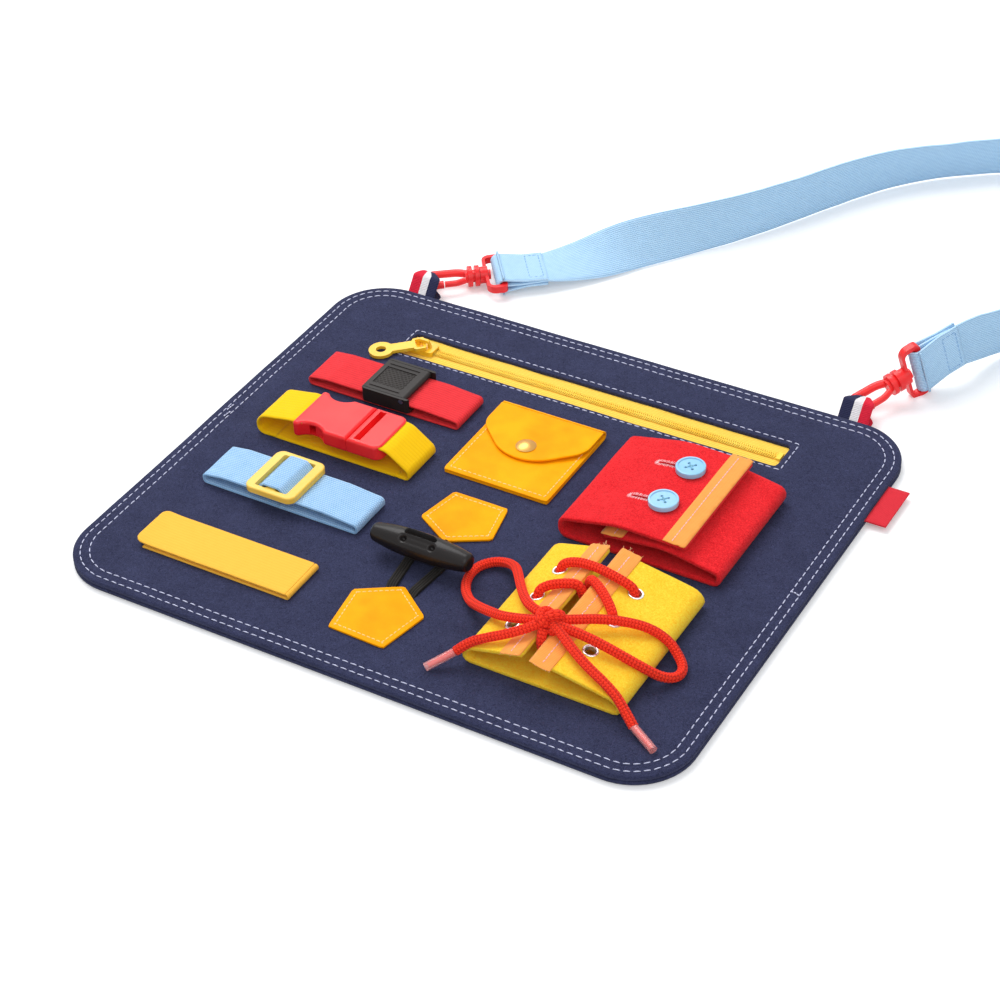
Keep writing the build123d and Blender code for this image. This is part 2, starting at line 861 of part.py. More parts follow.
def slide_ring():
    """A rectangular ring with a middle bar, lying over the blue webbing."""
    outline = RectangleRounded(ring_length, ring_width, ring_corner)
    window_length = (ring_length - 3 * ring_cross_bar) / 2
    window_x = (ring_cross_bar + window_length) / 2
    window = RectangleRounded(window_length, ring_width - 2 * ring_side_rail, ring_window_round)
    low = board_top + blue_strap_height + soft_gap
    body = plate(outline, low, ring_thickness)
    body = fillet(body.edges().group_by(Axis.Z)[-1], ring_edge_round)
    for side in (-1, 1):
        body -= plate(Pos(side * window_x) * window, low - overrun, ring_thickness + 2 * overrun)
    return Pos(ring_x, blue_strap_y) * body


def blue_strap_hump():
    """The stretch of blue webbing that rises over the ring's middle bar."""
    low = board_top + blue_strap_height + soft_gap
    top = low + ring_thickness + soft_gap + webbing_thickness
    points = ((-hump_foot, low), (-hump_crown, top), (hump_crown, top), (hump_foot, low))
    face = ribbon_face(points, [hump_round, hump_round], webbing_thickness, Side.RIGHT)
    body = run_along_y(face, -webbing_width / 2, webbing_width / 2)
    floor = span_box(-hump_foot, hump_foot, -webbing_width, webbing_width, low - 2 * overrun, low)
    return Pos(ring_x, blue_strap_y) * (body - floor)


def hook_strap_top():
    """Height of the hook and loop flap's upper face."""
    return board_top + 2 * tape_webbing_thickness + 2 * hook_pad_thickness + soft_gap


def hook_strap_base():
    """The sewn-down yellow webbing with its folded right end."""
    middle = (board_top + hook_strap_top()) / 2
    outer = (hook_strap_top() - board_top) / 2
    strip = span_rectangle(
        hook_base_left_x, hook_fold_x, board_top, board_top + tape_webbing_thickness
    )
    fold = Pos(hook_fold_x, middle) * (Circle(outer) - Circle(outer - tape_webbing_thickness))
    left_half = span_rectangle(
        hook_fold_x - 2 * outer, hook_fold_x, middle - 2 * outer, middle + 2 * outer
    )
    y = hook_strap_y
    return run_along_y(strip + (fold - left_half), y - webbing_width / 2, y + webbing_width / 2)


def hook_strap_flap():
    """The free flap with rounded tip corners, folded back from the right."""
    y = hook_strap_y
    outline = span_rectangle(
        strap_left_x, hook_fold_x - soft_gap, y - webbing_width / 2, y + webbing_width / 2
    )
    outline = fillet(outline.vertices().group_by(Axis.X)[0], hook_tip_round)
    return plate(outline, hook_strap_top() - tape_webbing_thickness, tape_webbing_thickness)


def fastening_pad(z_low):
    """One patch of the hook and loop fastening."""
    outline = span_rectangle(
        hook_pad_left_x,
        hook_pad_right_x,
        hook_strap_y - hook_pad_width / 2,
        hook_strap_y + hook_pad_width / 2,
    )
    return plate(outline, z_low, hook_pad_thickness)


def pocket_top():
    """Height of the upper face of the snap pocket's flap."""
    return board_top + 3 * leather + flap_gap


def pocket_back():
    """The pocket's back leather, folded over at its top edge."""
    middle = (board_top + pocket_top()) / 2
    outer = (pocket_top() - board_top) / 2
    outline = span_rectangle(pocket_left_x, pocket_right_x, pocket_bottom_y, pocket_fold_y)
    outline = fillet(outline.vertices().group_by(Axis.Y)[0], pocket_corner)
    body = plate(outline, board_top, leather)
    fold = Pos(pocket_fold_y, middle) * (Circle(outer) - Circle(outer - leather))
    inner_half = span_rectangle(
        pocket_fold_y - 2 * outer, pocket_fold_y, middle - 2 * outer, middle + 2 * outer
    )
    return body + run_along_x(fold - inner_half, pocket_left_x, pocket_right_x)


def pocket_front():
    """The pocket's front leather, stitched to the back on three sides."""
    outline = span_rectangle(pocket_left_x, pocket_right_x, pocket_bottom_y, pocket_mouth_y)
    outline = fillet(outline.vertices().group_by(Axis.Y)[0], pocket_corner)
    return plate(outline, board_top + leather, leather)


def pocket_flap():
    """The flap, with straight sides and a rounded point."""
    middle_x = (pocket_left_x + pocket_right_x) / 2
    root_y = pocket_fold_y - soft_gap
    points = (
        (pocket_left_x, root_y),
        (pocket_left_x, flap_shoulder_y),
        (middle_x, flap_tip_y),
        (pocket_right_x, flap_shoulder_y),
        (pocket_right_x, root_y),
    )
    radii = [flap_tip_round, 2 * flap_tip_round, flap_tip_round]
    sides = FilletPolyline(*points, radius=radii)
    outline = make_face([sides, Line((pocket_right_x, root_y), (pocket_left_x, root_y))])
    rivet = Pos(middle_x, snap_y) * Circle(snap_stud_diameter / 4)
    return plate(outline - rivet, pocket_top() - leather, leather)


def snap_cap():
    """The brass dome on the flap, with its rivet through the leather."""
    middle_x = (pocket_left_x + pocket_right_x) / 2
    radius = snap_cap_diameter / 2
    curve = (radius**2 + snap_cap_height**2) / (2 * snap_cap_height)
    ball = Pos(0, 0, snap_cap_height - curve) * Sphere(curve)
    dome = split(ball, bisect_by=Plane.XY, keep=Keep.TOP)
    rivet = Pos(0, 0, -leather) * extrude(Circle(snap_stud_diameter / 4), amount=leather)
    return Pos(middle_x, snap_y, pocket_top()) * (dome + rivet)


def snap_socket():
    """The spring socket under the flap."""
    middle_x = (pocket_left_x + pocket_right_x) / 2
    thickness = flap_gap - snap_stud_base - snap_socket_gap
    ring = ring_of(snap_socket_diameter, snap_bore_diameter, thickness)
    return Pos(middle_x, snap_y, pocket_top() - leather - thickness) * ring


def snap_stud():
    """The stud on the pocket's front, which the socket closes over."""
    middle_x = (pocket_left_x + pocket_right_x) / 2
    base = extrude(Circle(snap_stud_base_diameter / 2), amount=snap_stud_base)
    stud = extrude(Circle(snap_stud_diameter / 2), amount=snap_stud_height)
    return Pos(middle_x, snap_y, board_top + 2 * leather) * (base + stud)


def toggle_patch(depth):
    """A five-sided leather patch, pointed at one end."""
    points = [(across * patch_width, along * depth) for across, along in patch_outline_shares]
    outline = make_face(Polyline(*points, close=True))
    return plate(fillet(outline.vertices(), patch_corner), 0, leather)


def upper_patch():
    """The patch that holds the toggle's cord."""
    return Pos(upper_patch_x, upper_patch_y, board_top) * toggle_patch(upper_patch_depth)


def lower_patch():
    """The patch that holds the elastic loop."""
    turned = Rot(0, 0, lower_patch_turn) * toggle_patch(lower_patch_depth)
    return Pos(lower_patch_x, lower_patch_y, board_top) * turned


def toggle_height():
    """Height of the toggle's axis."""
    return board_top + toggle_axis_height


def toggle():
    """A barrel tapered to both ends, with two cord holes and a groove between them on top."""
    half = toggle_length / 2
    thick = toggle_diameter / 2
    thin = toggle_end_diameter / 2
    belly = toggle_belly / 2
    points = (
        (-half, 0), (-half, thin), (-belly, thick), (belly, thick), (half, thin), (half, 0)
    )
    face = make_face(Polyline(*points, close=True))
    face = fillet(face.vertices().filter_by_position(Axis.Y, thin, thin), toggle_end_round)
    barrel = revolve(face, Axis.X)
    for side in (-1, 1):
        hole = Cylinder(toggle_hole_diameter / 2, 2 * toggle_diameter)
        barrel -= Pos(side * toggle_hole_spacing / 2) * hole
    groove = Box(toggle_hole_spacing, toggle_hole_diameter, toggle_diameter)
    barrel -= Pos(0, 0, toggle_diameter - toggle_groove_depth) * groove
    return Pos(toggle_x, toggle_y, toggle_height()) * barrel


def toggle_cord():
    """The toggle's cord, up one hole, across the groove and down the other, to its patch."""
    radius = toggle_cord_diameter / 2
    low = board_top + loop_braid_thickness + soft_gap + radius
    high = toggle_height() + toggle_diameter / 2 - toggle_groove_depth + radius + soft_gap
    near = toggle_hole_spacing / 2
    start_y = upper_patch_y - upper_patch_depth / 2
    start_z = board_top + radius
    inner = radius + soft_gap
    points = (
        (toggle_x - inner, start_y, start_z),
        (toggle_x - inner - radius, loop_top_y + radius, low),
        (toggle_x - near, toggle_y, low),
        (toggle_x - near, toggle_y, high),
        (toggle_x + near, toggle_y, high),
        (toggle_x + near, toggle_y, low),
        (toggle_x + inner + radius, loop_top_y + radius, low),
        (toggle_x + inner, start_y, start_z),
    )
    hole_bend = toggle_cord_bend_share * radius
    bends = [2 * radius, hole_bend, hole_bend]
    path = FilletPolyline(*points, radius=bends + bends[::-1])
    face = RegularPolygon(radius, cord_sides)
    return sweep(Plane(origin=path @ 0, z_dir=path % 0) * face, path=path)


def toggle_loop():
    """The flat elastic loop from the lower patch, which holds the toggle's cord."""
    outer = (
        (loop_left_foot_x - loop_braid_width / 2, loop_foot_y),
        (loop_left_x - loop_braid_width / 2, loop_top_y - loop_braid_width),
        (loop_left_x, loop_top_y),
        (loop_right_x, loop_top_y),
        (loop_right_x + loop_braid_width / 2, loop_top_y - loop_braid_width),
        (loop_right_foot_x + loop_braid_width / 2, loop_foot_y),
    )
    radii = [2 * loop_braid_width, loop_braid_width / 2, loop_braid_width / 2, 2 * loop_braid_width]
    face = ribbon_face(outer, radii, loop_braid_width, Side.RIGHT)
    return plate(face, board_top, loop_braid_thickness) - lower_patch()


def coat_lines():
    """The red sleeve's outer line, from the under edge round to the upper edge."""
    base = board_top
    return (
        (coat_under_x, base + coat_under),
        (coat_under_crown_x, base + coat_under_crown),
        (coat_right_x, base + coat_right_fold),
        (coat_right_x, base),
        (coat_left_x, base),
        (coat_left_x, base + coat_left_fold),
        (coat_crown_x, base + coat_crown),
        (coat_edge_x, base + coat_edge),
    )


def coat_felt():
    """Red felt wrapped into a flat sleeve, its left flap over its right one."""
    radii = [coat_crown_round, coat_right_round, coat_right_round]
    radii += [coat_left_round, coat_left_round, coat_crown_round]
    face = ribbon_face(coat_lines(), radii, felt, Side.LEFT)
    body = run_along_y(face, coat_front_y, coat_back_y)
    top = board_top + coat_crown + overrun
    low = board_top + coat_under_crown
    for y in (button_upper_y, button_lower_y):
        body -= span_box(
            buttonhole_left_x,
            buttonhole_right_x,
            y - buttonhole_width / 2,
            y + buttonhole_width / 2,
            low,
            top,
        )
    return body


def edge_ribbon(tip, inner, width, thickness, side):
    """A ribbon lying on a flap from its edge inwards, seen edge on."""
    along = (Vector(*inner) - Vector(*tip)).normalized()
    up = Vector(-along.Y, along.X) * side
    tip_low = Vector(*tip)
    corners = [tip_low, tip_low + along * width]
    corners += [corners[1] + up * thickness, tip_low + up * thickness]
    return make_face(Polyline(*[(c.X, c.Y) for c in corners], close=True))


def coat_ribbons():
    """Orange ribbons along the upper flap's edge and the covered edge below it."""
    lines = coat_lines()
    upper = edge_ribbon(lines[-1], lines[-2], coat_ribbon_width, ribbon_thickness, -1)
    under = edge_ribbon(lines[0], lines[1], coat_ribbon_width, ribbon_thickness, 1)
    return Compound(children=[run_along_y(f, coat_front_y, coat_back_y) for f in (upper, under)])


def height_on(line_start, line_end, x):
    """Height of a straight stretch of an outer line at x."""
    share = (x - line_start[0]) / (line_end[0] - line_start[0])
    return line_start[1] + share * (line_end[1] - line_start[1])


def button(y):
    """A round sew-through button with a raised rim and four holes."""
    lines = coat_lines()
    rest = height_on(lines[-2], lines[-1], button_x) + button_lift
    body = extrude(Circle(button_diameter / 2), amount=button_thickness)
    body = fillet(body.edges().group_by(Axis.Z)[-1], button_rim / 2)
    dish = extrude(Circle(button_diameter / 2 - button_rim), amount=button_dish)
    body -= Pos(0, 0, button_thickness - button_dish) * dish
    half = button_hole_spacing / 2
    for x, hole_y in ((-half, -half), (half, -half), (-half, half), (half, half)):
        hole = Cylinder(button_hole_diameter / 2, 4 * button_thickness)
        body -= Pos(x, hole_y) * hole
    return Pos(button_x, y, rest) * body


def button_shanks():
    """The thread shanks that carry the buttons from the under flap through the slits."""
    lines = coat_lines()
    foot = height_on(lines[0], lines[1], button_x) + shank_run
    head = height_on(lines[-2], lines[-1], button_x) + button_lift - shank_run
    shanks = []
    for y in (button_upper_y, button_lower_y):
        shank = extrude(Circle(shank_diameter / 2), amount=head - foot)
        shanks.append(Pos(button_x, y, foot) * shank)
    return Compound(children=shanks)


def shoe_lines():
    """The yellow sleeve's outer line, from one lip of the slit round to the other."""
    base = board_top
    return (
        (shoe_slit_left_x, base + shoe_edge_height),
        (shoe_left_shoulder_x, base + shoe_shoulder_height),
        (shoe_left_x, base),
        (shoe_right_x, base),
        (shoe_right_shoulder_x, base + shoe_shoulder_height),
        (shoe_slit_right_x, base + shoe_edge_height),
    )


def eyelet_places():
    """Each eyelet's plane on the felt's upper face."""
    lines = shoe_lines()
    places = []
    for x, start, end in (
        (eyelet_left_x, lines[1], lines[0]),
        (eyelet_right_x, lines[-2], lines[-1]),
    ):
        along = (Vector(end[0], 0, end[1]) - Vector(start[0], 0, start[1])).normalized()
        up = Vector(-along.Z, 0, along.X)
        if up.Z < 0:
            up = up * -1
        for y in eyelet_rows_y:
            places.append(Plane(origin=(x, y, height_on(start, end, x)), z_dir=up))
    return places


def shoe_felt():
    """Yellow felt wrapped into a flat sleeve with a slit along its top, like a shoe."""
    radii = [shoe_shoulder_round, shoe_fold_round, shoe_fold_round, shoe_shoulder_round]
    face = ribbon_face(shoe_lines(), radii, felt, Side.LEFT)
    body = run_along_y(face, shoe_front_y, shoe_back_y)
    for place in eyelet_places():
        hole = extrude(place * Circle(eyelet_barrel / 2), amount=2 * felt, both=True)
        body -= hole
    return body


def shoe_ribbons():
    """Orange ribbons along both lips of the slit."""
    lines = shoe_lines()
    left = edge_ribbon(lines[0], lines[1], shoe_ribbon_width, ribbon_thickness, -1)
    right = edge_ribbon(lines[-1], lines[-2], shoe_ribbon_width, ribbon_thickness, 1)
    return Compound(children=[run_along_y(f, shoe_front_y, shoe_back_y) for f in (left, right)])


def eyelets():
    """Six metal eyelets, flanged on both faces of the felt."""
    rings = []
    for place in eyelet_places():
        flange = Circle(eyelet_diameter / 2)
        body = extrude(place * flange, amount=eyelet_flange)
        body += extrude(place * Circle(eyelet_barrel / 2), amount=-felt)
        lower = place.offset(-felt)
        body += extrude(lower * flange, amount=-eyelet_flange)
        bore = place * Circle(eyelet_bore / 2)
        rings.append(body - extrude(bore, amount=2 * felt, both=True))
    return Compound(children=rings)


# The lace's routes, chosen by hand: through the eyelets and the slit from knot to knot,
# then the two bow loops and the two tails
lace_crossing_route = [
    (73.0, -75.5, 23.5), (73.0, -71.5, 20.5), (72.8, -70.0, 13.6), (65.5, -66.0, 10.6),
    (58.0, -60.8, 10.4), (56.4, -59.8, 18.8), (59.5, -56.6, 21.2), (66.0, -53.4, 22.5),
    (72.3, -51.2, 22.6), (73.2, -50.6, 14.0), (80.0, -46.2, 10.4), (91.0, -41.0, 10.6),
    (92.6, -40.4, 19.4), (85.5, -40.6, 22.4), (73.0, -39.2, 23.6), (62.5, -38.4, 21.9),
    (56.4, -40.2, 18.8), (57.6, -40.9, 10.4), (66.0, -42.6, 10.6), (72.6, -44.4, 14.0),
    (73.6, -45.4, 22.6), (80.5, -49.6, 23.0), (88.0, -55.4, 21.4), (92.5, -59.8, 18.6),
    (91.0, -61.5, 10.4), (83.0, -74.0, 10.4), (74.4, -85.2, 11.6), (73.2, -87.2, 19.6),
    (73.0, -83.5, 23.6),
]
left_bow_route = [
    (70.5, -77.4, 25.0), (64.0, -75.6, 24.4), (56.4, -69.6, 22.2), (48.5, -59.6, 19.4),
    (41.6, -49.8, 16.4), (35.8, -42.6, 12.0), (29.6, -38.4, 8.4), (23.4, -39.2, 7.2),
    (18.9, -44.6, 7.0), (18.3, -52.2, 7.0), (21.3, -60.2, 7.1), (28.0, -67.4, 8.2),
    (35.4, -72.8, 12.4), (43.0, -77.6, 16.8), (52.0, -81.2, 20.2), (61.4, -82.0, 23.2),
    (70.0, -81.0, 25.0),
]
right_bow_route = [
    (76.5, -77.4, 25.0), (82.0, -73.6, 24.6), (89.4, -67.2, 23.0), (97.8, -61.4, 20.6),
    (107.0, -57.4, 18.0), (115.4, -56.2, 13.8), (121.4, -58.2, 8.8), (125.8, -62.6, 7.0),
    (125.6, -68.4, 7.0), (121.2, -72.8, 8.8), (114.6, -76.2, 14.0), (105.6, -77.8, 18.2),
    (96.0, -78.2, 21.0), (86.4, -79.4, 23.8), (77.5, -80.6, 25.2),
]
left_tail_route = [
    (72.6, -80.8, 25.4), (67.4, -86.4, 24.0), (60.4, -90.8, 21.4), (52.6, -94.0, 18.8),
    (45.4, -96.8, 15.6), (41.0, -100.2, 11.4),
]
right_tail_route = [
    (76.4, -80.8, 25.4), (82.4, -84.0, 23.8), (89.8, -88.2, 21.8), (98.2, -91.8, 19.6),
    (106.4, -94.4, 17.6), (113.4, -96.8, 14.8), (119.2, -99.8, 10.6), (123.8, -102.6, 8.0),
]
left_aglet_end = (32.2, -109.8, 6.7)
right_aglet_end = (136.6, -109.8, 6.7)
knot_place = (74.0, -79.4, 25.6)


def lace():
    """The red cord: its crossings through the eyelets, two bow loops and two tails."""
    routes = (
        ("lace crossings", lace_crossing_route),
        ("left bow", left_bow_route),
        ("right bow", right_bow_route),
        ("left tail", left_tail_route),
        ("right tail", right_tail_route),
    )
    return Compound(children=[tube(name, route, lace_diameter) for name, route in routes])


def cord_ring(ring_radius):
    """One closed turn of cord about Z."""
    section = Pos(ring_radius) * RegularPolygon(lace_diameter / 2, cord_sides)
    return revolve(Plane.XZ * section, Axis.Z)


def lace_knot():
    """The bow's knot: two turns of cord round the crossing loops and a third beneath."""
    upright = Rot(0, 90, 0) * cord_ring(knot_turn_radius)
    leaning = Rot(0, 90, knot_second_turn) * cord_ring(knot_second_radius)
    beneath = Pos(*knot_third_shift) * cord_ring(knot_third_radius)
    core = Pos(*knot_core_shift) * Sphere(knot_core_radius)
    knot = upright + Pos(*knot_second_shift) * leaning + beneath + core
    return Pos(*knot_place) * knot


def aglet(route, end):
    """A clear plastic tip crimped on the end of the lace."""
    start = Vector(*route[-1])
    along = (Vector(*end) - start).normalized()
    tip = extrude(Plane(origin=start, z_dir=along) * Circle(aglet_diameter / 2), aglet_length)
    return tip


def side_label():
    """A small folded woven label sewn into the right edge."""
    edge = board_length / 2
    outline = span_rectangle(
        edge - label_tail, edge + label_reach, label_y - label_width / 2, label_y + label_width / 2
    )
    outline = fillet(outline.vertices().group_by(Axis.X)[-1], label_corner)
    return plate(outline, rear_felt, label_thickness)


def strap_tab(x, pull_towards):
    """A ribbon loop sewn into the edge, gathered to a narrow end where the hook holds it."""
    edge = board_width / 2
    tail = span_rectangle(edge - tab_tail, edge + tab_ribbon, rear_felt, rear_felt + 2 * tab_ribbon)
    low = tab_ribbon / 4
    reach = edge + tab_reach
    points = (
        (edge + tab_ribbon / 4, rear_felt),
        (edge + tab_tail / 2, low),
        (reach, low),
        (reach, low + tab_loop_height),
        (edge + tab_tail * tab_shoulder_share, low + tab_loop_height),
        (edge + tab_ribbon / 4, rear_felt + 2 * tab_ribbon),
    )
    radii = [tab_ribbon, tab_tail / 3, tab_tail / 2, tab_tail / 2, tab_tail / 3, tab_ribbon / 2]
    outer = make_face(FilletPolyline(*points, radius=radii, close=True))
    loop = outer - offset(outer, amount=-tab_ribbon)
    body = run_along_x(tail + loop, x - tab_width / 2, x + tab_width / 2)
    start = reach - tab_pinch_start
    end_x = x + pull_towards
    far = reach + overrun
    height = 2 * tab_loop_height
    for side in (-1, 1):
        wide = x + side * tab_width / 2
        narrow = end_x + side * tab_pinch_width / 2
        outside = x + side * tab_width
        corners = ((wide, start), (narrow, reach), (narrow, far), (outside, far), (outside, start))
        body -= plate(make_face(Polyline(*corners, close=True)), -overrun, height)
    return body


def hook_frame(side, roll):
    """The hook's plane: origin at its tip, X along its axis, Z across its flat side."""
    bearing = math.radians(left_hook_bearing if side < 0 else right_hook_bearing)
    rise = math.radians(left_hook_rise if side < 0 else right_hook_rise)
    end_x = left_tab_end_x if side < 0 else right_tab_end_x
    end_y = board_width / 2 + tab_reach - tab_ribbon
    along = Vector(
        math.cos(bearing) * math.cos(rise), math.sin(bearing) * math.cos(rise), math.sin(rise)
    )
    origin = Vector(end_x, end_y, hook_axis_height) - along * hook_past_tab
    across = Vector(-math.sin(bearing), math.cos(bearing), 0)
    up = along.cross(across)
    turn = math.radians(roll)
    normal = up * math.cos(turn) + across * math.sin(turn)
    return Plane(origin=origin, x_dir=along, z_dir=normal)


def lathe(points):
    """A turned form about the hook's own axis."""
    face = make_face(Polyline(*points, close=True))
    return revolve(face, Axis.X)


def collar_end():
    """Distance from the hook's tip to the outer face of its last collar."""
    return hook_shaft_end + 2 * hook_collar_thickness + hook_collar_gap


def eye_start():
    """Distance from the hook's tip to the near face of the eye's boss."""
    return collar_end() + soft_gap


def swivel_hook():
    """Red moulded hook: nose, bow and shaft, two collars and a headed swivel pin."""
    nose = (hook_nose_reach, -hook_half_width)
    route = (
        nose,
        (hook_rod / 2, -hook_half_width),
        (hook_rod / 2, hook_half_width),
        (hook_shaft_end * hook_neck_share, hook_half_width * hook_waist_share),
        (hook_shaft_end + hook_collar_thickness / 2, hook_rod / 2),
    )
    path = FilletPolyline(*route, radius=[hook_bow_round, hook_bow_round, 3 * hook_bow_round])
    body = sweep(Plane(origin=path @ 0, z_dir=path % 0) * Circle(hook_rod / 2), path=path)
    first = hook_shaft_end
    second = first + hook_collar_thickness + hook_collar_gap
    pin = swivel_pin_diameter / 2
    head_start = eye_start() + eye_boss_length + soft_gap
    body += lathe((
        (first - hook_collar_gap, 0),
        (first - hook_collar_gap, hook_neck_diameter / 2),
        (first, hook_neck_diameter / 2),
        (first, hook_collar_diameter / 2),
        (first + hook_collar_thickness, hook_collar_diameter / 2),
        (first + hook_collar_thickness, hook_neck_diameter / 2),
        (second, hook_neck_diameter / 2),
        (second, hook_collar_diameter / 2),
        (second + hook_collar_thickness, hook_collar_diameter / 2),
        (second + hook_collar_thickness, pin),
        (head_start, pin),
        (head_start, swivel_head_diameter / 2),
        (head_start + swivel_head_thickness, swivel_head_diameter / 2),
        (head_start + swivel_head_thickness, 0),
    ))
    return body


def hook_gate():
    """The sprung gate that closes the hook's mouth."""
    route = (
        (gate_tip, -hook_half_width),
        (gate_root - hook_rod, -hook_half_width),
        (gate_root, -hook_half_width + hook_rod * gate_root_share),
    )
    path = FilletPolyline(*route, radius=2 * hook_rod)
    return sweep(Plane(origin=path @ 0, z_dir=path % 0) * Circle(gate_rod / 2), path=path)


def eye_bar_place():
    """Distance from the hook's tip to the middle of the eye's bar."""
    return eye_start() + eye_depth - eye_bar / 2


def strap_eye():
    """The D-shaped eye that carries the strap, with a boss that turns on the hook's pin."""
    start = eye_start()
    outer = span_rectangle(start + eye_side, start + eye_depth, -eye_width / 2, eye_width / 2)
    outer = fillet(outer.vertices().group_by(Axis.X)[0], eye_round)
    outer = fillet(outer.vertices().group_by(Axis.X)[-1], eye_bar * eye_bar_round_share)
    window = span_rectangle(
        start + eye_boss_length,
        start + eye_depth - eye_bar,
        -eye_width / 2 + eye_side,
        eye_width / 2 - eye_side,
    )
    window = fillet(window.vertices().group_by(Axis.X)[0], eye_round / 2)
    body = extrude(outer - window, amount=eye_thickness / 2, both=True)
    boss = eye_boss_diameter / 2
    body += lathe((
        (start, 0), (start, boss), (start + eye_boss_length, boss), (start + eye_boss_length, 0)
    ))
    bore = swivel_pin_diameter / 2 + swivel_pin_gap
    return body - lathe((
        (start - overrun, 0),
        (start - overrun, bore),
        (start + eye_boss_length + overrun, bore),
        (start + eye_boss_length + overrun, 0),
    ))


def placed(frame, solid):
    """A piece drawn about the origin, moved to a hook's plane."""
    return frame.location * solid


# The strap's route, chosen by hand: the middle of the band and its lean in degrees,
# 0 lying flat and 90 standing on edge, from the left hook's eye round to the right one's
strap_route = [
    (-55.0, 190.5, 6.8, 22), (-39.0, 208.0, 10.8, 52), (-17.0, 231.0, 12.4, 74),
    (3.0, 256.0, 12.9, 84), (19.0, 282.0, 13.0, 90), (33.0, 307.0, 13.0, 92),
    (49.0, 331.0, 13.0, 98), (71.0, 352.0, 12.8, 106), (97.0, 371.0, 12.8, 104),
    (126.0, 387.0, 12.9, 98), (159.0, 399.0, 13.0, 92), (195.0, 404.0, 13.0, 90),
    (230.0, 399.0, 13.0, 90), (259.0, 382.0, 13.0, 90), (276.0, 354.0, 13.0, 90),
    (275.0, 323.0, 13.0, 90), (257.0, 298.0, 13.0, 90), (231.0, 280.0, 13.0, 90),
    (204.0, 265.0, 13.0, 90), (181.0, 247.0, 13.0, 90), (163.0, 226.0, 13.4, 90),
    (150.5, 204.0, 15.6, 90),
]


def strap_start(side):
    """Where the single band meets the sewn double end, and the band's direction there."""
    roll = left_eye_roll if side < 0 else right_eye_roll
    frame = hook_frame(side, roll)
    reach = eye_bar_place() + strap_double_run
    return frame.from_local_coords(Vector(reach, 0, 0)), frame


def strap_end(side):
    """The strap's end, folded round the eye's bar and sewn to itself."""
    roll = left_eye_roll if side < 0 else right_eye_roll
    bar = eye_bar_place()
    inner = math.hypot(eye_bar, eye_thickness) / 2 + strap_wrap_gap
    outer = inner + strap_thickness
    taper = bar + 3 * outer
    end = bar + strap_double_run
    wedge_points = (
        (bar, -outer), (taper, -strap_thickness), (end, -strap_thickness),
        (end, strap_thickness), (taper, strap_thickness), (bar, outer),
    )
    face = make_face(Polyline(*wedge_points, close=True)) + Pos(bar) * Circle(outer)
    face -= Pos(bar) * Circle(inner)
    wrap = extrude(Plane.XZ * face, amount=strap_width / 2, both=True)
    return placed(hook_frame(side, roll), wrap)


def strap_section(centre, along, lean):
    """One cross section of the band: its long side leans from flat to upright."""
    flat = Vector(-along.Y, along.X, 0).normalized()
    width_way = flat * math.cos(lean) + Vector(0, 0, 1) * math.sin(lean)
    plane = Plane(origin=centre, x_dir=width_way, z_dir=along)
    return plane * Rectangle(strap_width, strap_thickness)


def shoulder_strap():
    """Light blue webbing lying in one wide loose loop, folded round both eyes."""
    start, left_frame = strap_start(-1)
    finish, right_frame = strap_start(1)
    centres = [start] + [Vector(x, y, z) for x, y, z, _ in strap_route] + [finish]
    leans = [0] + [lean for _, _, _, lean in strap_route] + [90]
    ways = [left_frame.x_dir]
    for before, after in zip(centres, centres[2:]):
        ways.append((after - before).normalized())
    ways.append(right_frame.x_dir * -1)
    sections = [
        strap_section(centre, way, math.radians(lean))
        for centre, way, lean in zip(centres, ways, leans)
    ]
    wires = [section.wire() for section in sections]
    lengths = [Solid.make_loft([a, b], ruled=True) for a, b in zip(wires, wires[1:])]
    band = lengths[0].fuse(*lengths[1:])
    length = sum((b - a).length for a, b in zip(centres, centres[1:]))
    share = band.volume / (length * strap_width * strap_thickness)
    print(f"strap: band length {length:.1f}, volume share {share:.3f}")
    return Compound(children=[strap_end(-1), band, strap_end(1)])


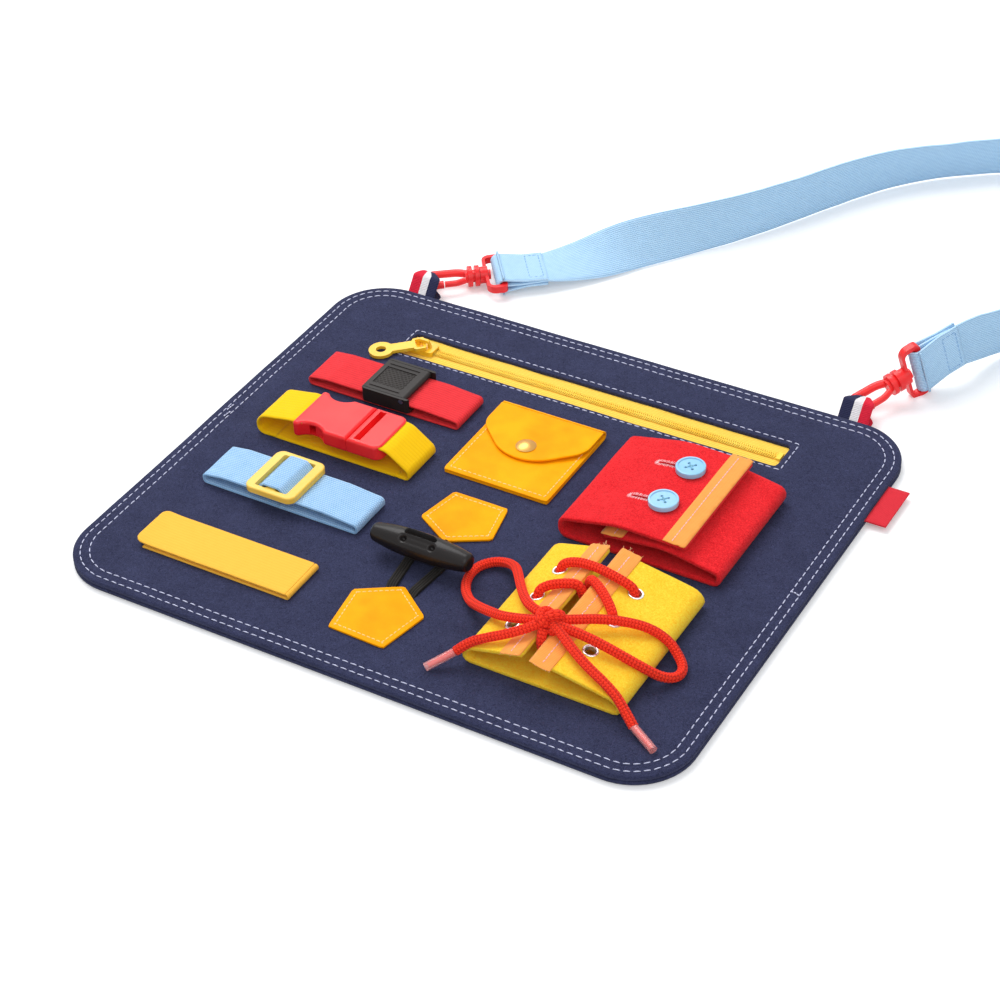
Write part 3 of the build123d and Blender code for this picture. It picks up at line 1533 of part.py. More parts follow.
def all_parts():
    """Every piece of the board under the name of its node."""
    parts = {
        "rear_panel": rear_panel(),
        "front_panel": front_panel(),
        "side_label": side_label(),
        "tab_left": strap_tab(-tab_x, left_tab_end_x + tab_x),
        "tab_right": strap_tab(tab_x, right_tab_end_x - tab_x),
        "zip_tapes": zip_tapes(),
        "zip_chain": zip_chain(),
        "zip_stops": zip_stops(),
        "zip_slider": zip_slider(),
        "zip_pull": zip_pull(),
        "red_strap": red_strap(),
        "cam_buckle_frame": cam_buckle_frame(),
        "cam_buckle_pin": cam_buckle_pin(),
        "cam_buckle_lid": cam_buckle_lid(),
        "yellow_strap_base": yellow_strap_base(),
        "yellow_strap_left": yellow_strap_left(),
        "yellow_strap_right": yellow_strap_right(),
        "side_buckle_socket": side_buckle_socket(),
        "side_buckle_plug": side_buckle_plug(),
        "side_buckle_arms": side_buckle_arms(),
        "blue_strap": blue_strap(),
        "blue_strap_hump": blue_strap_hump(),
        "slide_ring": slide_ring(),
        "hook_strap_base": hook_strap_base(),
        "loop_pad": fastening_pad(board_top + tape_webbing_thickness),
        "hook_strap_flap": hook_strap_flap(),
        "hook_pad": fastening_pad(
            hook_strap_top() - tape_webbing_thickness - hook_pad_thickness
        ),
        "pocket_back": pocket_back(),
        "pocket_front": pocket_front(),
        "pocket_flap": pocket_flap(),
        "snap_cap": snap_cap(),
        "snap_socket": snap_socket(),
        "snap_stud": snap_stud(),
        "toggle_patch_upper": upper_patch(),
        "toggle_patch_lower": lower_patch(),
        "toggle": toggle(),
        "toggle_cord": toggle_cord(),
        "toggle_loop": toggle_loop(),
        "coat_felt": coat_felt(),
        "coat_ribbons": coat_ribbons(),
        "button_upper": button(button_upper_y),
        "button_lower": button(button_lower_y),
        "button_shanks": button_shanks(),
        "shoe_felt": shoe_felt(),
        "shoe_ribbons": shoe_ribbons(),
        "eyelets": eyelets(),
        "lace": lace(),
        "lace_knot": lace_knot(),
        "aglet_left": aglet(left_tail_route, left_aglet_end),
        "aglet_right": aglet(right_tail_route, right_aglet_end),
        "shoulder_strap": shoulder_strap(),
    }
    for side, word, roll in ((-1, "left", left_eye_roll), (1, "right", right_eye_roll)):
        frame = hook_frame(side, 0)
        parts[f"hook_{word}"] = placed(frame, swivel_hook())
        parts[f"gate_{word}"] = placed(frame, hook_gate())
        parts[f"strap_eye_{word}"] = placed(hook_frame(side, roll), strap_eye())
    return parts


os.makedirs("parts", exist_ok=True)
for name, shape in all_parts().items():
    export_step(shape, f"parts/{name}.step")
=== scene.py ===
import math
import random

import bpy
import numpy as np
from mathutils import Matrix, Vector, geometry, noise


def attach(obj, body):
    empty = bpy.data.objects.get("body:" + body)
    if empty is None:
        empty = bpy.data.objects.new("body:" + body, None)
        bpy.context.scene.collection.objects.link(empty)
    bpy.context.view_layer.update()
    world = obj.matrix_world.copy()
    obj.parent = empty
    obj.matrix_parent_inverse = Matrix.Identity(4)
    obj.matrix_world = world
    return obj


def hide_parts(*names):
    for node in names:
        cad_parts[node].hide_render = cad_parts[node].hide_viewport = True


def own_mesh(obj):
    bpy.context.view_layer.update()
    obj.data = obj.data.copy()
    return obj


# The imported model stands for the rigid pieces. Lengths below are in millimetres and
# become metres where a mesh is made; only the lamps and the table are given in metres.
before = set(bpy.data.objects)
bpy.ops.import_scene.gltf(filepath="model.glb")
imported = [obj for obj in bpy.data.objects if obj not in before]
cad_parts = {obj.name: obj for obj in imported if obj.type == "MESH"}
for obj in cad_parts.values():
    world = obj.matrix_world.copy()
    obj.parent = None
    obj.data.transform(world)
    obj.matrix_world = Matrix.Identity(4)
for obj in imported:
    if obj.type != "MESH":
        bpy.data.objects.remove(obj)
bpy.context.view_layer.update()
MM = 0.001


# The view: the board lies on a white table and is seen from its lower right corner, from
# above, with a long lens held very slightly askew.
AZIMUTH = math.radians(31.825)
ELEVATION = math.radians(38.101)
ROLL = math.radians(-2.741)
EYE = (440.95, -704.80, 656.51)
LENS = 85.78

back = Vector((
    math.sin(AZIMUTH) * math.cos(ELEVATION),
    -math.cos(AZIMUTH) * math.cos(ELEVATION),
    math.sin(ELEVATION),
))
level_right = Vector((math.cos(AZIMUTH), math.sin(AZIMUTH), 0))
level_up = back.cross(level_right)
right = level_right * math.cos(ROLL) + level_up * math.sin(ROLL)
up = level_up * math.cos(ROLL) - level_right * math.sin(ROLL)
camera_data = bpy.data.cameras.new("camera")
camera_data.lens = LENS
camera_data.sensor_width = 36
camera_data.clip_end = 20
camera = bpy.data.objects.new("camera", camera_data)
bpy.context.collection.objects.link(camera)
turned = Matrix((right, up, back)).transposed().to_4x4()
camera.matrix_world = Matrix.Translation(Vector(EYE) * MM) @ turned
bpy.context.scene.camera = camera
bpy.context.scene.view_settings.view_transform = "Standard"


# The table and the light: a white sheet that keeps the board's soft shadow, one large soft
# lamp over the far left corner, a weaker one near the camera, and a white room.
def lamp(name, place, size, power):
    """A square soft lamp that faces the board."""
    data = bpy.data.lights.new(name, "AREA")
    data.size = size
    data.energy = power
    light = bpy.data.objects.new(name, data)
    bpy.context.collection.objects.link(light)
    light.location = place
    light.rotation_euler = (-Vector(place)).to_track_quat("-Z", "Y").to_euler()


def set_sockets(tree, made, values):
    """Sets a node's sockets to values, or feeds them from other nodes' sockets."""
    for socket, value in values.items():
        if isinstance(value, bpy.types.NodeSocket):
            tree.links.new(value, made.inputs[socket])
        else:
            made.inputs[socket].default_value = value


def node(tree, kind, *values, operation=None, **named):
    """A shader node, its first sockets given in order and others by name."""
    made = tree.nodes.new("ShaderNode" + kind)
    if operation:
        made.operation = operation
    set_sockets(tree, made, dict(enumerate(values)))
    set_sockets(tree, made, {name.replace("_", " "): value for name, value in named.items()})
    return made


def worked(tree, operation, *values):
    """What a Math node makes of values, each a number or a socket."""
    return node(tree, "Math", *values, operation=operation).outputs[0]


def seen_rays(tree):
    """1 for what the camera sees straight, in a reflection or through clear plastic."""
    rays = node(tree, "LightPath").outputs
    seen = worked(tree, "MAXIMUM", rays["Is Camera Ray"], rays["Is Glossy Ray"])
    return worked(tree, "MAXIMUM", seen, rays["Is Transmission Ray"])


lamp("far lamp", (-0.75, 0.55, 1.5), 1.3, 26)
lamp("near lamp", (0.9, -1.1, 1.5), 1.6, 13)

# The room lights the board softly, and shows as plain white wherever the camera sees it.
world = bpy.data.worlds.new("white room")
bpy.context.scene.world = world
world.use_nodes = True
room = world.node_tree
room_light = room.nodes["Background"]
set_sockets(room, room_light, {"Color": (0.93, 0.96, 1.0, 1), "Strength": 0.55})
white_wall = node(room, "Background", Color=(1, 1, 1, 1), Strength=1)
room_seen = node(room, "MixShader", seen_rays(room), room_light.outputs[0], white_wall.outputs[0])
room.links.new(room_seen.outputs[0], room.nodes["World Output"].inputs["Surface"])

# The table is matt white. A faint glow, stronger far from the board, keeps it as white as the
# room where no shadow falls.
bpy.ops.mesh.primitive_grid_add(x_subdivisions=4, y_subdivisions=4, size=12,
                                location=(0, 0, -0.0003))
table = bpy.context.object
table.name = "table"
paper = bpy.data.materials.new("white table")
paper.use_nodes = True
sheet = paper.node_tree
matt = sheet.nodes["Principled BSDF"]
set_sockets(sheet, matt, {"Base Color": (0.86, 0.86, 0.86, 1), "Roughness": 0.9,
                          "Specular IOR Level": 0.1})
on_table = node(sheet, "TexCoord").outputs["Object"]
from_board = node(sheet, "VectorMath", on_table, operation="LENGTH").outputs["Value"]
glow_rise = node(sheet, "MapRange", Value=from_board, From_Min=0.7, From_Max=2.2, To_Min=0.22,
                 To_Max=0.9).outputs["Result"]
glow = node(sheet, "Emission", Strength=worked(sheet, "MULTIPLY", glow_rise, seen_rays(sheet)))
lit_sheet = node(sheet, "AddShader", matt.outputs[0], glow.outputs[0])
sheet.links.new(lit_sheet.outputs[0], sheet.nodes["Material Output"].inputs["Surface"])
table.data.materials.append(paper)


# The board's two panels: navy needle felt, cut with rounded corners and sewn together round
# the rim. Each is one flat cut with rolled edges, dimpled along its seams.
BOARD = (300.0, 255.0, 27.5)
REAR_TOP = 2.3
BOARD_TOP = 4.7
RIM_SEAMS = (3.3, 7.4)
SLOT = (0.2, 88.2, 200.0, 17.0)
SLOT_SEAM = (1.0, 88.7, 204.0, 21.5)
DIMPLE_REACH = 0.9
DIMPLE_DEPTH = 0.34
REAR_DIMPLE_DEPTH = 0.3
CHANNEL_DEPTH = 1.4


def srgb(red, green, blue):
    """A colour as a screen shows it, 0 to 255, for a shader's socket."""
    return (*((c / 255 / 12.92) if c < 10 else ((c / 255 + 0.055) / 1.055) ** 2.4
              for c in (red, green, blue)), 1)


def pattern_group(name, **numbers):
    """An empty shader group that turns a place into a Shade and a Height, with its first
    node's outputs and its last one's inputs."""
    group = bpy.data.node_groups.new(name, "ShaderNodeTree")
    group.interface.new_socket(name="Vector", in_out="INPUT", socket_type="NodeSocketVector")
    for socket, value in numbers.items():
        made = group.interface.new_socket(name=socket.replace("_", " "), in_out="INPUT",
                                          socket_type="NodeSocketFloat")
        made.default_value = value
    for socket in ("Shade", "Height"):
        group.interface.new_socket(name=socket, in_out="OUTPUT", socket_type="NodeSocketFloat")
    first = group.nodes.new("NodeGroupInput")
    last = group.nodes.new("NodeGroupOutput")
    return group, first.outputs, last


def felt_fibres():
    """Fine bent fibres over slow clumps."""
    tree, given, last = pattern_group("felt fibres", Fibre_Scale=900.0)
    place = given["Vector"]
    curl = node(tree, "TexNoise", Vector=place, Scale=140.0, Detail=3.0).outputs["Color"]
    bent = node(tree, "VectorMath", curl, (0.004, 0.004, 0.004), place,
                operation="MULTIPLY_ADD").outputs[0]
    strand = node(tree, "TexNoise", Vector=bent, Scale=given["Fibre Scale"], Detail=6.0,
                  Roughness=0.7, Distortion=2.0).outputs["Fac"]
    clump = node(tree, "TexNoise", Vector=place, Scale=90.0, Detail=4.0,
                 Roughness=0.6).outputs["Fac"]
    shade = worked(tree, "MULTIPLY_ADD", clump, 0.14, worked(tree, "MULTIPLY", strand, 0.86))
    height = worked(tree, "MULTIPLY_ADD", clump, 0.25, strand)
    set_sockets(tree, last, {"Shade": shade, "Height": height})
    return tree


def shaded_material(name, pattern, dark, pale, bump, surface, ends=(0.3, 0.7), numbers=None,
                    on_cut=False):
    """A material whose colour runs from dark to pale with a pattern's Shade, and whose surface
    follows its Height. The pattern lies on the object, or on the cut the piece is bent from."""
    made = bpy.data.materials.new(name)
    made.use_nodes = True
    tree = made.node_tree
    coordinates = node(tree, "UVMap" if on_cut else "TexCoord")
    if on_cut:
        coordinates.uv_map = "cut"
    group = tree.nodes.new("ShaderNodeGroup")
    group.node_tree = pattern
    place = coordinates.outputs["UV" if on_cut else "Object"]
    set_sockets(tree, group, {"Vector": place, **(numbers or {})})
    ramp = node(tree, "ValToRGB", Fac=group.outputs["Shade"])
    for end, position, colour in zip(ramp.color_ramp.elements, ends, (dark, pale)):
        end.position = position
        end.color = srgb(*colour)
    relief = node(tree, "Bump", Strength=1, Distance=bump * MM, Height=group.outputs["Height"])
    set_sockets(tree, tree.nodes["Principled BSDF"], {
        "Base Color": ramp.outputs["Color"], "Normal": relief.outputs["Normal"], **surface
    })
    return made


fibres = felt_fibres()


def felt(name, dark, pale, bump, scale):
    """Needle felt: matt fibres with a faint bloom at grazing angles."""
    surface = {"Roughness": 0.95, "Specular IOR Level": 0.06, "Sheen Weight": 0.07,
               "Sheen Roughness": 0.5}
    return shaded_material(name, fibres, dark, pale, bump, surface, (0.37, 0.63),
                           {"Fibre Scale": scale})


def reach_along(line):
    """How far along a line each of its points lies."""
    return np.concatenate([[0], np.cumsum(np.linalg.norm(np.diff(line, axis=0), axis=1))])


def even_ring(points, step):
    """Points at even steps along a closed outline, keeping close to its corners."""
    closed = [Vector(p).to_2d() for p in points]
    closed.append(closed[0])
    return even_line(closed, step)[:-1]


def even_line(points, step):
    """Points at even steps along an open line."""
    line = np.array([tuple(p) for p in points], float)
    reach = reach_along(line)
    count = max(2, round(reach[-1] / step) + 1)
    at = np.linspace(0, reach[-1], count)
    return [
        Vector([np.interp(s, reach, line[:, k]) for k in range(line.shape[1])]) for s in at
    ]


def rounded_rectangle(length, width, radius, centre=(0.0, 0.0), step=1.0):
    """A rectangle's outline with arcs at its corners, counterclockwise."""
    points = []
    count = max(3, int(radius * math.pi / 2 / step))
    for quarter, (sx, sy) in enumerate(((1, 1), (-1, 1), (-1, -1), (1, -1))):
        middle = (centre[0] + sx * (length / 2 - radius), centre[1] + sy * (width / 2 - radius))
        for i in range(count + 1):
            turn = (quarter + i / count) * math.pi / 2
            points.append((
                middle[0] + radius * math.cos(turn), middle[1] + radius * math.sin(turn)
            ))
    return points


def depth_in(u, v, length, width, radius, centre=(0.0, 0.0)):
    """How far a point lies inside a rounded rectangle; negative outside."""
    qx = abs(u - centre[0]) - length / 2 + radius
    qy = abs(v - centre[1]) - width / 2 + radius
    outside = math.hypot(max(qx, 0), max(qy, 0)) + min(max(qx, qy), 0)
    return radius - outside


def within(points, ring):
    """Which of many points lie inside a closed ring."""
    px, py = points[:, 0], points[:, 1]
    inside = np.zeros(len(points), bool)
    for a, b in zip(ring, ring[1:] + ring[:1]):
        crosses = (a[1] > py) != (b[1] > py)
        rise = b[1] - a[1] if b[1] != a[1] else 1e-12
        inside ^= crosses & (px < (b[0] - a[0]) * (py - a[1]) / rise + a[0])
    return inside


def moved_in(ring, amount):
    """A closed ring moved towards its left hand side, which is inwards if it runs
    counterclockwise."""
    moved = []
    for before, here, after in zip(ring[-1:] + ring[:-1], ring, ring[1:] + ring[:1]):
        along = (after - before).normalized()
        moved.append(here + Vector((-along.y, along.x)) * amount)
    return moved


def counterclockwise(ring):
    """The ring, run so that its area is positive."""
    area = sum(a.x * b.y - b.x * a.y for a, b in zip(ring, ring[1:] + ring[:1]))
    return ring if area > 0 else ring[::-1]


def finished(name, verts, faces, material, body, uvs=None, replaced=(), *, slot):
    """A smooth mesh piece in millimetres, riding on a body, for the nodes it replaces."""
    data = bpy.data.meshes.new(name)
    data.from_pydata([Vector(v) * MM for v in verts], [], faces)
    data.materials.append(material)
    data.polygons.foreach_set("use_smooth", [True] * len(data.polygons))
    if uvs is not None:
        layer = data.uv_layers.new(name="cut")
        corners = np.empty(len(data.loops), np.int32)
        data.loops.foreach_get("vertex_index", corners)
        layer.data.foreach_set("uv", (np.array(uvs, np.float32)[corners] * MM).ravel())
    data.validate()
    data.update()
    made = bpy.data.objects.new(name, data)
    bpy.context.collection.objects.link(made)
    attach(made, body)
    if replaced:
        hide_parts(*replaced)
    return made


def inside_cut(points, rings):
    """Which points lie inside a cut's outline and outside its holes."""
    inside = within(points, rings[0])
    for hole in rings[1:]:
        inside &= ~within(points, hole)
    return inside


def grid_within(outline, inner, cell):
    """A staggered grid's points that lie within a cut's inner rings and not close to them."""
    lows = np.min([tuple(p) for p in outline], axis=0)
    highs = np.max([tuple(p) for p in outline], axis=0)
    grid = []
    for row, v in enumerate(np.arange(lows[1] + cell / 2, highs[1], cell * 0.87)):
        shift = cell / 2 * (row % 2)
        grid += [(u + shift, v) for u in np.arange(lows[0] + cell / 2, highs[0], cell)]
    grid = np.array(grid).reshape(-1, 2)
    kept = inside_cut(grid, inner)
    for ring in inner:
        for p in ring:
            kept &= np.hypot(grid[:, 0] - p.x, grid[:, 1] - p.y) > cell * 0.55
    return grid[kept]


def flat_mesh(outline, inner, cell):
    """A cut's face as points and triangles, and the number that each ring's point has there."""
    flat, edges = [], []
    for ring in inner:
        first = len(flat)
        flat += ring
        edges += [(first + i, first + (i + 1) % len(ring)) for i in range(len(ring))]
    flat += [Vector(p) for p in grid_within(outline, inner, cell)]
    found, _, triangles, origins, _, _ = geometry.delaunay_2d_cdt(flat, edges, [], 0, 1e-7)
    place = {old: new for new, olds in enumerate(origins) for old in olds}
    middles = np.array([np.mean([tuple(found[i]) for i in t], axis=0) for t in triangles])
    solid = [tuple(t) for t, keep in zip(triangles, inside_cut(middles, inner)) if keep]
    return found, solid, place


def faces_between(rows, turned=False, round_about=True):
    """Four-cornered faces between each row of vertices and the next; turned ones look the
    other way, and rows that don't go round about stay open."""
    faces = []
    for one, other in zip(rows, rows[1:]):
        here = list(zip(one, other))
        ahead = here[1:] + here[:1] if round_about else here[1:]
        for (a, b), (d, c) in zip(here, ahead):
            faces.append((a, d, c, b) if turned else (a, b, c, d))
    return faces


def numbered(count, size, first=0):
    """The numbers of vertices that were made row by row."""
    return [range(first + i * size, first + (i + 1) * size) for i in range(count)]


def cut_piece(name, outline, thickness, bend, material, body, cell, holes=(), *, edge,
              replaced, slot, swell=None, under=None):
    """A flat cut of cloth or leather with rolled edges, bent into place: bend takes a point
    of the cut and a height above its lower face, swell and under raise its two faces."""
    rings = [counterclockwise(even_ring(outline, cell))]
    rings += [counterclockwise(even_ring(hole, cell))[::-1] for hole in holes]
    inner = [moved_in(ring, edge) for ring in rings]
    found, triangles, place = flat_mesh(rings[0], inner, cell)
    count = len(found)
    rise = [swell(p.x, p.y) if swell else 0.0 for p in found]
    drop = [under(p.x, p.y) if under else 0.0 for p in found]
    verts = [bend(p.x, p.y, thickness + r) for p, r in zip(found, rise)]
    verts += [bend(p.x, p.y, d) for p, d in zip(found, drop)]
    uvs = [tuple(p) for p in found] * 2
    faces = triangles + [tuple(i + count for i in reversed(t)) for t in triangles]
    first = 0
    for ring, low_ring in zip(rings, inner):
        top = [place[first + i] for i in range(len(ring))]
        rows = [top]
        for share, level in ((0.35, 0.28), (0.0, 0.75), (0.0, -0.75), (0.35, -0.28)):
            rows.append(range(len(verts), len(verts) + len(ring)))
            for p, low, at in zip(ring, low_ring, top):
                q = p.lerp(low, share)
                face = thickness + rise[at] if level > 0 else drop[at]
                verts.append(bend(q.x, q.y, face - level * edge))
                uvs.append((q.x, q.y))
        rows.append([i + count for i in top])
        faces += faces_between(rows)
        first += len(ring)
    return finished(name, verts, faces, material, body, uvs, replaced, slot=slot)


def seam(line, bend, height, stitch, seed, lift=0.1, sway=0.03):
    """The stitches along a line of a cut, short sunk arcs of thread, as vertices and faces:
    stitch is their pitch, their length and the thread's thickness."""
    pitch, dash, thread = stitch
    draw = random.Random(seed)
    line = np.array([tuple(p) for p in line], float)
    reach = reach_along(line)
    count = max(1, round(reach[-1] / pitch))
    pitch = reach[-1] / count
    verts, faces = [], []

    def at(s):
        return np.array([np.interp(s, reach, line[:, k]) for k in (0, 1)])

    for n in range(count):
        start = (n + 0.5) * pitch - dash / 2 * draw.uniform(0.93, 1.07)
        end = start + dash * draw.uniform(0.95, 1.05)
        aside = draw.uniform(-sway, sway) * dash
        rows = numbered(6, 6, len(verts))
        for k in range(6):
            t = k / 5
            s = start + (end - start) * t
            way = at(s + 0.2) - at(s)
            size = np.linalg.norm(way)
            way = way / size if size > 1e-9 else np.array([1.0, 0.0])
            side = np.array([-way[1], way[0]])
            p = at(s) + side * aside * (2 * t - 1)
            level = height(p[0], p[1]) if callable(height) else height
            level += lift * thread * (2.2 * math.sin(math.pi * (0.1 + 0.8 * t)) - 1.2)
            share = 0.45 + 0.55 * math.sin(math.pi * (0.08 + 0.84 * t))
            for corner in range(6):
                turn = corner / 6 * 2 * math.pi
                out = side * math.cos(turn) * thread / 2 * share
                verts.append(bend(*(p + out), level + math.sin(turn) * thread * 0.42 * share))
        faces += faces_between(rows, turned=True)
        faces += [tuple(reversed(rows[0])), tuple(rows[-1])]
    return verts, faces


def joined(parts):
    """Several meshes' vertices and faces as one mesh's."""
    verts, faces = [], []
    for more_verts, more_faces in parts:
        shift = len(verts)
        verts += more_verts
        faces += [tuple(i + shift for i in face) for face in more_faces]
    return verts, faces


def sewn(name, seams, material, body, slot):
    """Several seams of stitches as one piece."""
    return finished(name, *joined(seams), material, body, slot=slot)


def closed(ring):
    """The ring with its first point repeated at its end."""
    return list(ring) + [ring[0]]


def on_board(u, v, h):
    """The front panel's cut, lying flat on the rear one."""
    return (u, v, REAR_TOP + h)


def dimple(away):
    """How much of its full depth a seam's dimple has at a distance from the seam."""
    return math.exp(-(away / DIMPLE_REACH) ** 2)


def uneven(u, v, seed):
    """A smooth random height between -1 and 1."""
    return noise.noise(Vector((u, v, seed)))


def slot_outline():
    """The zip's slot, its long sides a little wavy as cut felt is."""
    ring = even_ring(rounded_rectangle(SLOT[2], SLOT[3], 1.2, SLOT[:2]), 2.0)
    return [(p.x, p.y + 0.5 * uneven(p.x * 0.05, p.y * 0.3, 3.1)) for p in ring]


def panel_swell(u, v):
    """Height of the front felt: a slow unevenness, and dimples along the seams."""
    depth = depth_in(u, v, *BOARD)
    z = 0.22 * uneven(u * 0.021, v * 0.021, 0.7)
    z += 0.12 * uneven(u * 0.07, v * 0.07, 5.2)
    for seam_depth in RIM_SEAMS:
        z -= DIMPLE_DEPTH * dimple(depth - seam_depth)
    slot_depth = depth_in(u, v, SLOT_SEAM[2], SLOT_SEAM[3], 1.5, SLOT_SEAM[:2])
    return z - DIMPLE_DEPTH * dimple(slot_depth)


navy_felt = felt("navy felt", (30, 32, 55), (65, 69, 101), 0.3, 1100.0)
cut_piece(
    "front_panel_felt", rounded_rectangle(*BOARD), BOARD_TOP - REAR_TOP, on_board, navy_felt,
    "board", cell=2.2, holes=[slot_outline()], edge=0.7, swell=panel_swell,
    replaced=["front_panel"], slot="navy_felt",
)


def channel_swell(u, v):
    """The rear felt's upper face: pressed down where the zip slider runs."""
    inside = depth_in(u, v, SLOT[2] - 2, 11.0, 1.0, SLOT[:2])
    return -CHANNEL_DEPTH / (1 + math.exp(-3 * (inside - 0.2)))


def rear_under(u, v):
    """The rear felt's lower face, dimpled along the rim seams."""
    depth = depth_in(u, v, *BOARD)
    return sum(REAR_DIMPLE_DEPTH * dimple(depth - seam_depth) for seam_depth in RIM_SEAMS)


cut_piece(
    "rear_panel_felt", rounded_rectangle(*BOARD), REAR_TOP - 0.12, lambda u, v, h: (u, v, h),
    navy_felt, "board", cell=3.0, edge=0.7, swell=channel_swell, under=rear_under,
    replaced=["rear_panel"], slot="navy_felt",
)


# The seams that hold the board together: two rows of pale lavender thread round the rim,
# overlapping where they start, and one box round the zip. The same thread shows behind.
RIM_STITCH = (4.05, 2.8, 0.6)
REAR_STITCH = (4.05, 2.75, 0.6)
ZIP_STITCH = (3.9, 2.6, 0.6)
LEFT_END_STITCH = (1.7, 1.4, 0.78)
RIGHT_END_STITCH = (1.6, 1.3, 0.78)

thread_twist, twist_given, twist_last = pattern_group("thread twist")
ply = node(thread_twist, "TexNoise", Vector=twist_given["Vector"], Scale=2600.0,
           Detail=2.0).outputs["Fac"]
set_sockets(thread_twist, twist_last, {"Shade": ply, "Height": ply})


def thread(name, dark, pale):
    """Twisted sewing thread with a slight shine."""
    return shaded_material(name, thread_twist, dark, pale, 0.1, {"Roughness": 0.55})


lavender_thread = thread("lavender thread", (176, 178, 208), (214, 216, 240))


def rim_row(depth):
    """One seam's line, the board's outline moved in."""
    length, width, radius = BOARD
    return rounded_rectangle(length - 2 * depth, width - 2 * depth, radius - depth)


def panel_level(u, v):
    """Where a stitch lies on the front felt."""
    return BOARD_TOP - REAR_TOP + panel_swell(u, v) + 0.22


rim_seams = [
    seam(closed(rim_row(depth)), on_board, panel_level, RIM_STITCH, seed)
    for seed, depth in enumerate(RIM_SEAMS, 11)
]
for k in range(2):
    end = [(-145.6 + k * 1.6, 1.5 - 5 * k), (-145.0 + k * 1.6, 6.5 - 5 * k)]
    rim_seams.append(seam(end, on_board, panel_level, LEFT_END_STITCH, 20 + k))
end = [(142.0, 4.2), (146.9, 3.0)]
rim_seams.append(seam(end, on_board, panel_level, RIGHT_END_STITCH, 23))
zip_box = closed(rounded_rectangle(SLOT_SEAM[2], SLOT_SEAM[3], 1.2, SLOT_SEAM[:2]))
rim_seams.append(seam(zip_box, on_board, panel_level, ZIP_STITCH, 29))
sewn("rim_and_zip_stitches", rim_seams, lavender_thread, "board", "navy_felt")

rear_rows = [
    seam(closed(rim_row(depth)), lambda u, v, h: (u, v, 0.12 - h), 0.0, REAR_STITCH, seed)
    for seed, depth in enumerate(RIM_SEAMS, 31)
]
sewn("rear_stitches", rear_rows, lavender_thread, "board", "navy_felt")


# The zip's two tapes: yellow woven polyester, laid under the slot and held by the stitches
# round it. Their inner edges carry the coils.
ZIP_Y = 88.2
TAPE_LENGTH = 216.0
TAPE_WIDTH = 15.0
TAPE_THICKNESS = 0.5
TAPE_LEVEL = 2.32
TAPE_ROLL = 0.55


def humps(tree, value):
    """Rounded humps from 0 to 1, one for each whole number."""
    wave = worked(tree, "SINE", worked(tree, "MULTIPLY", value, math.pi))
    return worked(tree, "ABSOLUTE", wave)


def webbing_pattern():
    """The weave: rounded ribs along the band, crossed by picks that step from rib to rib.
    Its Shade paints shade into the grooves between ribs and picks, over random spots.
    """
    tree, given, last = pattern_group("webbing weave", Rib_Pitch=1.2, Pick_Pitch=0.8, Twill=0.5,
                                      Rib_Share=0.6)
    cut = node(tree, "SeparateXYZ", given["Vector"]).outputs
    along = worked(tree, "MULTIPLY", cut["X"], 1000.0)
    across = worked(tree, "MULTIPLY", cut["Y"], 1000.0)
    rib = worked(tree, "DIVIDE", across, given["Rib Pitch"])
    pick = worked(tree, "DIVIDE", along, given["Pick Pitch"])
    step = worked(tree, "MULTIPLY", worked(tree, "FLOOR", rib), given["Twill"])
    level = worked(tree, "MULTIPLY", humps(tree, rib), given["Rib Share"])
    rest = worked(tree, "SUBTRACT", 1.0, given["Rib Share"])
    pick_round = humps(tree, worked(tree, "ADD", pick, step))
    level = worked(tree, "MULTIPLY_ADD", pick_round, rest, level)
    spots = node(tree, "TexNoise", Vector=given["Vector"], Scale=260.0, Detail=4.0).outputs["Fac"]
    # Painted shade: the colour follows the weave's relief, dark in the grooves and pale on the
    # crowns.
    shade = worked(tree, "MULTIPLY_ADD", spots, 0.28, worked(tree, "MULTIPLY", level, 0.72))
    set_sockets(tree, last, {"Shade": shade, "Height": level})
    return tree


webbing_weave = webbing_pattern()


def webbing(name, dark, pale, rib, pick, twill, share, bump, ends=(0.15, 0.75), sheen=0.05):
    """A woven band: ribs rib millimetres apart along it, picks pick millimetres apart.
    Its dark colour is painted shade in the weave's grooves, its pale one the crowns.
    """
    surface = {"Roughness": 0.7, "Specular IOR Level": 0.12, "Sheen Weight": sheen,
               "Sheen Roughness": 0.4}
    numbers = {"Rib Pitch": rib, "Pick Pitch": pick, "Twill": twill, "Rib Share": share}
    return shaded_material(name, webbing_weave, dark, pale, bump, surface, ends, numbers, True)


tape_weave = webbing("zip tape", (242, 188, 60), (255, 214, 92), 1.1, 0.7, 1.0, 0.95, 0.2)


def smooth_step(low, high, value):
    """0 at low and before it, 1 at high and past it, an easy curve between; with low above
    high it falls instead."""
    share = min(1.0, max(0.0, (value - low) / (high - low)))
    return share * share * (3 - 2 * share)


def tape_half(side):
    """One tape, its face a little wavy and its inner edge rolled up over the coil's foot."""
    name = "zip_tape_upper" if side > 0 else "zip_tape_lower"
    middle = ZIP_Y + side * (0.05 + TAPE_WIDTH / 2 + TAPE_ROLL)
    outline = rounded_rectangle(TAPE_LENGTH, TAPE_WIDTH + 2 * TAPE_ROLL, 0.6,
                                (SLOT[0], middle), 0.5)

    def lie(u, v, h):
        inner = abs(v - ZIP_Y)
        roll = 0.3 * smooth_step(2.2, 3.0, inner) * smooth_step(4.6, 3.0, inner)
        wave = 0.12 * uneven(u * 0.045, v * 0.11, 5.0 + side)
        return (u, v, TAPE_LEVEL + h + roll + max(wave, -0.02))

    cut_piece(name, outline, TAPE_THICKNESS, lie, tape_weave, "board", 2.6, edge=0.2,
              replaced=["zip_tapes"] if side > 0 else (), slot="zip_tape")


for side in (1, -1):
    tape_half(side)


